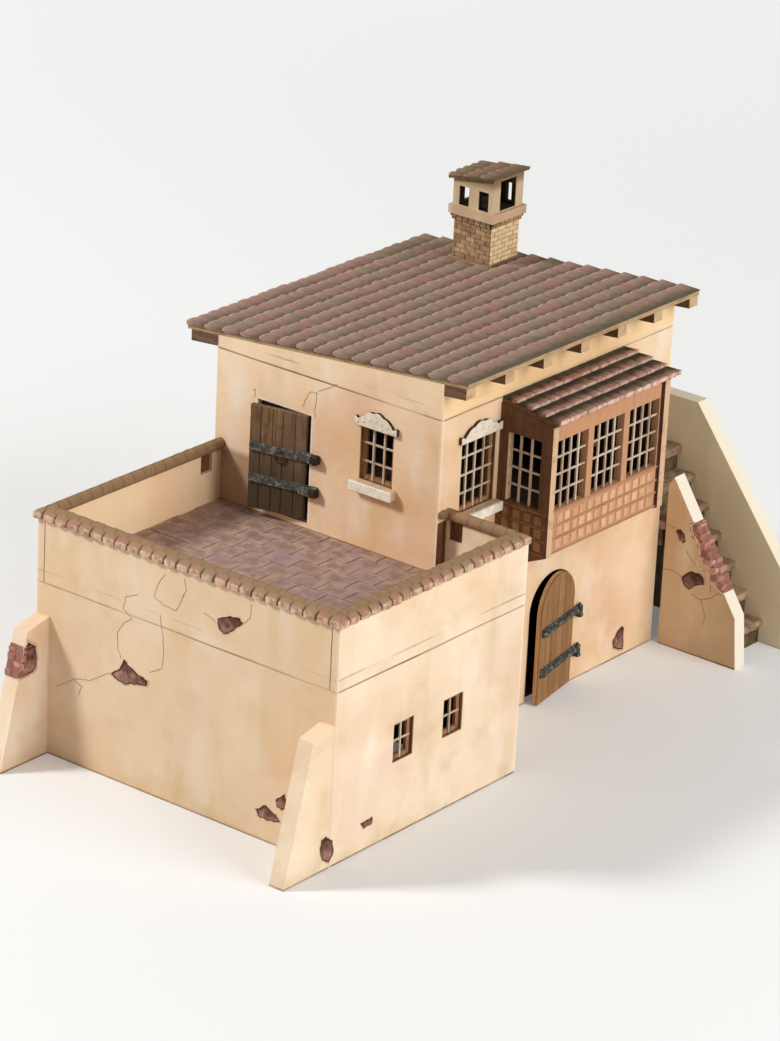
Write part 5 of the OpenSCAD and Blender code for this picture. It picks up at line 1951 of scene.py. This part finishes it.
@dataclass
class Damage:
    """Holes in the plaster, cracks and two broken edges."""

    rings: tuple[Pair, ...] = ((1.0, 0.05), (0.86, 0.1), (0.66, 0.45), (0.4, 0.6), (0.1, 0.5))
    buttress_y: float = Plan.DEPTH - Plan.BUTTRESS
    course: Pair = (1.9, 3.0)
    brick: Pair = (2.2, 4.0)
    ledge: float = 0.9
    mortar: float = 0.15
    proud: Pair = (0.35, 0.3)
    crack: Triple = (6, 0.18, 0.11)
    joint: Triple = (12, 0.04, 0.13)

    def holes(self) -> None:
        """Builds each hole as a rough bulge in a dark ring and a rim; the dark ring is painted
        shade.

        A bulge's rings shrink to the hole's middle while they rise, and
        their tone falls with the height so that the top stays dark, a painted
        shadow under the hole's upper edge.
        """
        rng = np.random.default_rng(41)
        ground, ring, rim = Shape(), Shape(), Shape()
        for facing, at, lines in (
                (Facing.X, 0.0, END_HOLES), (Facing.Y, 0.0, FRONT_HOLES),
                (Facing.Y, self.buttress_y, REAR_HOLES), (Facing.Y, Plan.FRONT, HOUSE_HOLES),
                (Facing.X, Plan.RIGHT, STAIR_HOLES)):
            for flat in (jagged(line, 4, 0.3, rng) for line in lines):
                middle = flat.mean(0)
                low, high = flat[:, 1].min(), flat[:, 1].max()
                places, tones = [], []
                for part, out in self.rings:
                    near = middle + (flat - middle) * part
                    near = near + rng.uniform(-0.12, 0.12, near.shape)
                    rough = rng.uniform(-0.04, 0.1, len(flat)) * (part < 0.8)
                    places.append(spots(facing, at - (out + rough), *near.T))
                    # Tones fall towards the top of the hole: painted shadow under its upper
                    # edge.
                    tones.append(1 - (near[:, 1] - low) / (high - low))
                marks = np.zeros((len(places), len(flat), 3))
                marks[..., 2] = np.array(tones)
                ground.sweep(np.array(places), marks)
                # The dark ring just inside the rim is painted shade.
                for shape, part, radius in ((ring, 0.93, 0.28), (rim, 1.06, 0.24)):
                    edge = middle + (flat - middle) * part
                    shape.tube(spots(facing, at + 0.06, *edge.T), radius,
                               spots(facing, 1, 0, 0), 6, loop=True)
        ground.piece("plaster_holes", Paints.HOLE, "plaster", smooth=35)
        ring.piece("hole_shade_rings", Paints.DEEP_SHADE, "plaster", smooth=60)
        rim.piece("hole_rims", Paints.LIP, "plaster", smooth=60)

    def broken(self, name: str, facing: Facing, wall: Pair, foot: Pair, head: Pair,
               seed: int) -> None:
        """Builds the bricks that show along a sloping broken edge.

        The courses step up the slope from the foot to the head, two
        bricks across the wall's thickness.

        Args:
            name: The beginning of the pieces' names.
            facing: The axis across the wall.
            wall: The wall's two faces on that axis.
            foot: Lower end of the break, along the wall and up.
            head: Its upper end.
            seed: Chooses the bricks' sizes and tones.
        """
        rng = np.random.default_rng(seed)
        bricks = Shape()
        (a0, z0), (a1, z1), (near, far) = foot, head, wall
        lean = (a1 - a0) / (z1 - z0)
        z = z0
        while z < z1 - 0.8:
            high = min(z + rng.uniform(*self.course), z1)
            a = a0 + ((z + high) / 2 - z0) * lean
            half = (near + far) / 2 + rng.uniform(-self.ledge, self.ledge)
            for lo, hi in ((near - self.proud[0], half - self.mortar),
                           (half + self.mortar, far + self.proud[1])):
                begin, end = a - rng.uniform(-0.1, self.ledge), a + rng.uniform(*self.brick)
                bricks.boxes(spots(facing, lo, begin, z + rng.uniform(0.05, 0.3)),
                             spots(facing, hi, end, high), rng.random())
            z = high
        Shape().plate(facing, (near - 0.05, far + 0.05),
                      [(a0 - 0.3, z0), (a0 + 1.4, z0), (a1 + 1.4, z1), (a1 - 0.3, z1)]).piece(
            name + "_ground", Paints.RED_BRICK, "plaster")
        bricks.piece(name + "_bricks", Paints.RED_BRICK, "plaster", bevel=0.55)

    def rims(self) -> None:
        """Builds the pale rims of the plaster at the broken edges."""
        rng = np.random.default_rng(48)
        edge = Shape()
        for facing, at, line in ((Facing.X, Plan.RIGHT, BROKEN_STAIR),
                                 (Facing.Y, self.buttress_y, BROKEN_BUTTRESS)):
            flat = jagged(line, 4, 0.2, rng, closed=False)
            edge.tube(spots(facing, at - 0.1, *flat.T), 0.45, spots(facing, 1, 0, 0), 6)
        edge.piece("broken_rims", Paints.LIP, "plaster", smooth=60)

    def lines(self) -> None:
        """Builds the cracks and the boards' joints as thin lines.

        A kind of line gives parts per stretch, their shake and a radius.
        """
        rng = np.random.default_rng(43)
        cracks, joints = Shape(), Shape()
        for shape, at, lines, (parts, shake, radius) in (
                (cracks, 0.0, END_CRACKS, self.crack),
                (cracks, Plan.LEFT, SIDE_CRACKS, self.crack),
                (cracks, Plan.RIGHT, STAIR_CRACKS, self.crack),
                (joints, 0.0, END_JOINTS, self.joint)):
            for line in lines:
                flat = jagged(line, parts, shake, rng, closed=False)
                shape.tube(spots(Facing.X, at, *flat.T), radius, spots(Facing.X, 1, 0, 0), 5)
        cracks.piece("wall_cracks", Paints.CRACK, "plaster", smooth=60)
        joints.piece("board_joints", Paints.REVEAL, "plaster", smooth=60)

    def build(self) -> None:
        """Builds all the damage."""
        self.holes()
        self.broken("stair_break", Facing.X, (Plan.RIGHT, Plan.RIGHT + 6.0), (1.2, 28.2),
                    (16.2, 50.8), 47)
        self.broken("buttress_break", Facing.Y, (self.buttress_y, Plan.DEPTH),
                    (-15.1, 32.6), (-12.4, 43.4), 49)
        self.rims()
        self.lines()


# ---- studio


def looking_back(azimuth: float, elevation: float, roll: float = 0.0) -> np.ndarray:
    """Axes of a camera or lamp that looks at the house.

    The backward axis is (sin a cos e, -cos a cos e, sin e) for the azimuth
    a, 0 to the front and 90 to the right, and the elevation e. The right
    and upward axes are the level ones turned by the roll.

    Args:
        azimuth: Its direction seen from the house, in degrees.
        elevation: Its height above the ground, in degrees.
        roll: Its turn about the line of sight, in degrees.

    Returns:
        The right, upward and backward axes, one column each.
    """
    a, e, r = (math.radians(angle) for angle in (azimuth, elevation, roll))
    back = np.array([math.sin(a) * math.cos(e), -math.cos(a) * math.cos(e), math.sin(e)])
    level = np.cross((0.0, 0.0, 1.0), back)
    level /= np.linalg.norm(level)
    up = np.cross(back, level)
    return np.stack([math.cos(r) * level + math.sin(r) * up,
                     math.cos(r) * up - math.sin(r) * level, back], -1)


@dataclass
class Studio:
    """Camera, lamps, floor and world."""

    azimuth: float = -52.42
    elevation: float = 22.47
    roll: float = 2.85
    eye: Triple = (-1054.25, -829.21, 678.16)
    lens: float = 212.2
    floor_half: float = 8.0
    dim: float = 0.3
    bright: float = 0.97

    def place(self, name: str, data: bpy.types.ID, axes: np.ndarray,
              at: np.ndarray) -> bpy.types.Object:
        """Puts a camera or a lamp in the scene.

        Args:
            name: The object's name.
            data: The camera or lamp.
            axes: Its right, upward and backward axes, one column each.
            at: Its place in metres.

        Returns:
            The new object.
        """
        made = bpy.data.objects.new(name, data)
        rows = np.concatenate([axes, at[:, None]], 1).tolist()
        made.matrix_world = Matrix(rows + [[0, 0, 0, 1]])
        bpy.context.scene.collection.objects.link(made)
        return made

    def camera(self) -> None:
        """Places the camera."""
        data = bpy.data.cameras.new("camera")
        data.lens = self.lens
        data.sensor_width = 36.0
        data.sensor_fit = "HORIZONTAL"
        data.clip_start, data.clip_end = 0.01, 60.0
        bpy.context.scene.camera = self.place(
            "camera", data, looking_back(self.azimuth, self.elevation, self.roll),
            (np.array(self.eye) + CORNER) * MM)

    def lamp(self, name: str, azimuth: float, elevation: float, distance: float,
             size: float, power: float) -> None:
        """Adds a square soft lamp that looks at the house's middle.

        Args:
            name: The lamp's name.
            azimuth: Its direction seen from the house.
            elevation: Its height above the ground, in degrees.
            distance: Its distance in metres.
            size: Its side in metres.
            power: Its power in watts.
        """
        axes = looking_back(azimuth, elevation)
        data = bpy.data.lights.new(name, "AREA")
        data.energy, data.size = power, size
        self.place(name, data, axes, np.mean(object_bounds(), 0) + axes[:, 2] * distance)

    def floor(self) -> None:
        """Builds the pale floor, which the camera sees as near white."""
        mesh = bpy.data.meshes.new("floor")
        h = self.floor_half
        mesh.from_pydata([(-h, -h, 0), (h, -h, 0), (h, h, 0), (-h, h, 0)], [], [(0, 1, 2, 3)])
        made = bpy.data.objects.new("floor", mesh)
        bpy.context.scene.collection.objects.link(made)
        g = Graph("studio_floor")
        colour = g.mix((226, 226, 224), (232, 232, 230), g.noise(900.0, 0.0, 2))
        mesh.materials.append(g.finish(colour, 0.95))
        x, y, _ = g.axes()
        away = g.sum("SQRT", g.sum("ADD", g.times(x, x), g.times(y, y)))
        glow = g.times(g.level(away, 50, 1500, 0.1, 0.6),
                       g.node("LightPath").outputs["Is Camera Ray"])
        g.shader.inputs["Emission Color"].default_value = (1, 1, 1, 1)
        g.link(glow, g.shader.inputs["Emission Strength"])
        made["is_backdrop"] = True

    def world(self) -> None:
        """Sets the world's plain pale light, brighter for the camera."""
        world = bpy.data.worlds.new("studio")
        world.use_nodes = True
        tree = world.node_tree
        ground = tree.nodes["Background"]
        ground.inputs["Color"].default_value = (1.0, 1.0, 1.0, 1.0)
        path = tree.nodes.new("ShaderNodeLightPath")
        power = tree.nodes.new("ShaderNodeMapRange")
        power.inputs["To Min"].default_value = self.dim
        power.inputs["To Max"].default_value = self.bright
        tree.links.new(path.outputs["Is Camera Ray"], power.inputs["Value"])
        tree.links.new(power.outputs[0], ground.inputs["Strength"])
        bpy.context.scene.world = world
        bpy.context.scene.view_settings.view_transform = "Standard"

    def build(self) -> None:
        """Builds the whole studio."""
        self.camera()
        self.floor()
        self.world()
        self.lamp("front_lamp", 5, 24, 1.3, 0.9, 11.6)
        self.lamp("side_lamp", -134, 38, 1.2, 0.2, 9.8)


# ---- dressing


DRESS = {
    Paints.BLOCK: ("block_end_wall", "block_front_wall", "block_back_wall",
                   "block_return_wall", "parapet_end", "parapet_front", "parapet_back",
                   "buttresses"),
    Paints.MAIN: ("front_wall_left", "front_wall_right", "front_wall_arch",
                  "front_wall_upper", "left_wall", "right_wall", "back_wall", "wall_head"),
    Paints.STAIR: ("stair_walls", "landing_wall"),
    Paints.COLLAR: ("chimney_collar",),
    Paints.LANTERN: ("chimney_lantern",),
    Paints.MORTAR: ("chimney_shaft",),
    Paints.FLOOR: ("ground_floor", "upper_floor", "oriel_floor"),
    Paints.PAVING: ("terrace_deck",),
    Paints.FRAME: ("window_frames",),
    Paints.RAFTER: ("rafter_tails",),
    Paints.RED: ("oriel_front",),
    Paints.SIDE: ("oriel_sides",),
    Paints.IRON: ("upper_door_straps", "arched_door_straps", "hinge_pins"),
    Paints.RISER: ("stair_risers",),
    Paints.STEP: ("stair_landing",),
}


def dress() -> None:
    """Gives every solid that still shows its finish."""
    for finish, nodes in DRESS.items():
        for node in nodes:
            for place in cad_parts[node].material_slots:
                place.material = finish.material()


def main() -> None:
    """Builds everything."""
    logging.basicConfig(level=logging.INFO, format="%(message)s")
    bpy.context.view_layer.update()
    for part in (Copings(), Roofs(), Windows(), Doors(), Steps(), PavingSlabs(), Chimney(),
                 OrielTrim(), Damage()):
        part.build()
    dress()
    Studio().build()


if __name__ == "__main__":
    main()
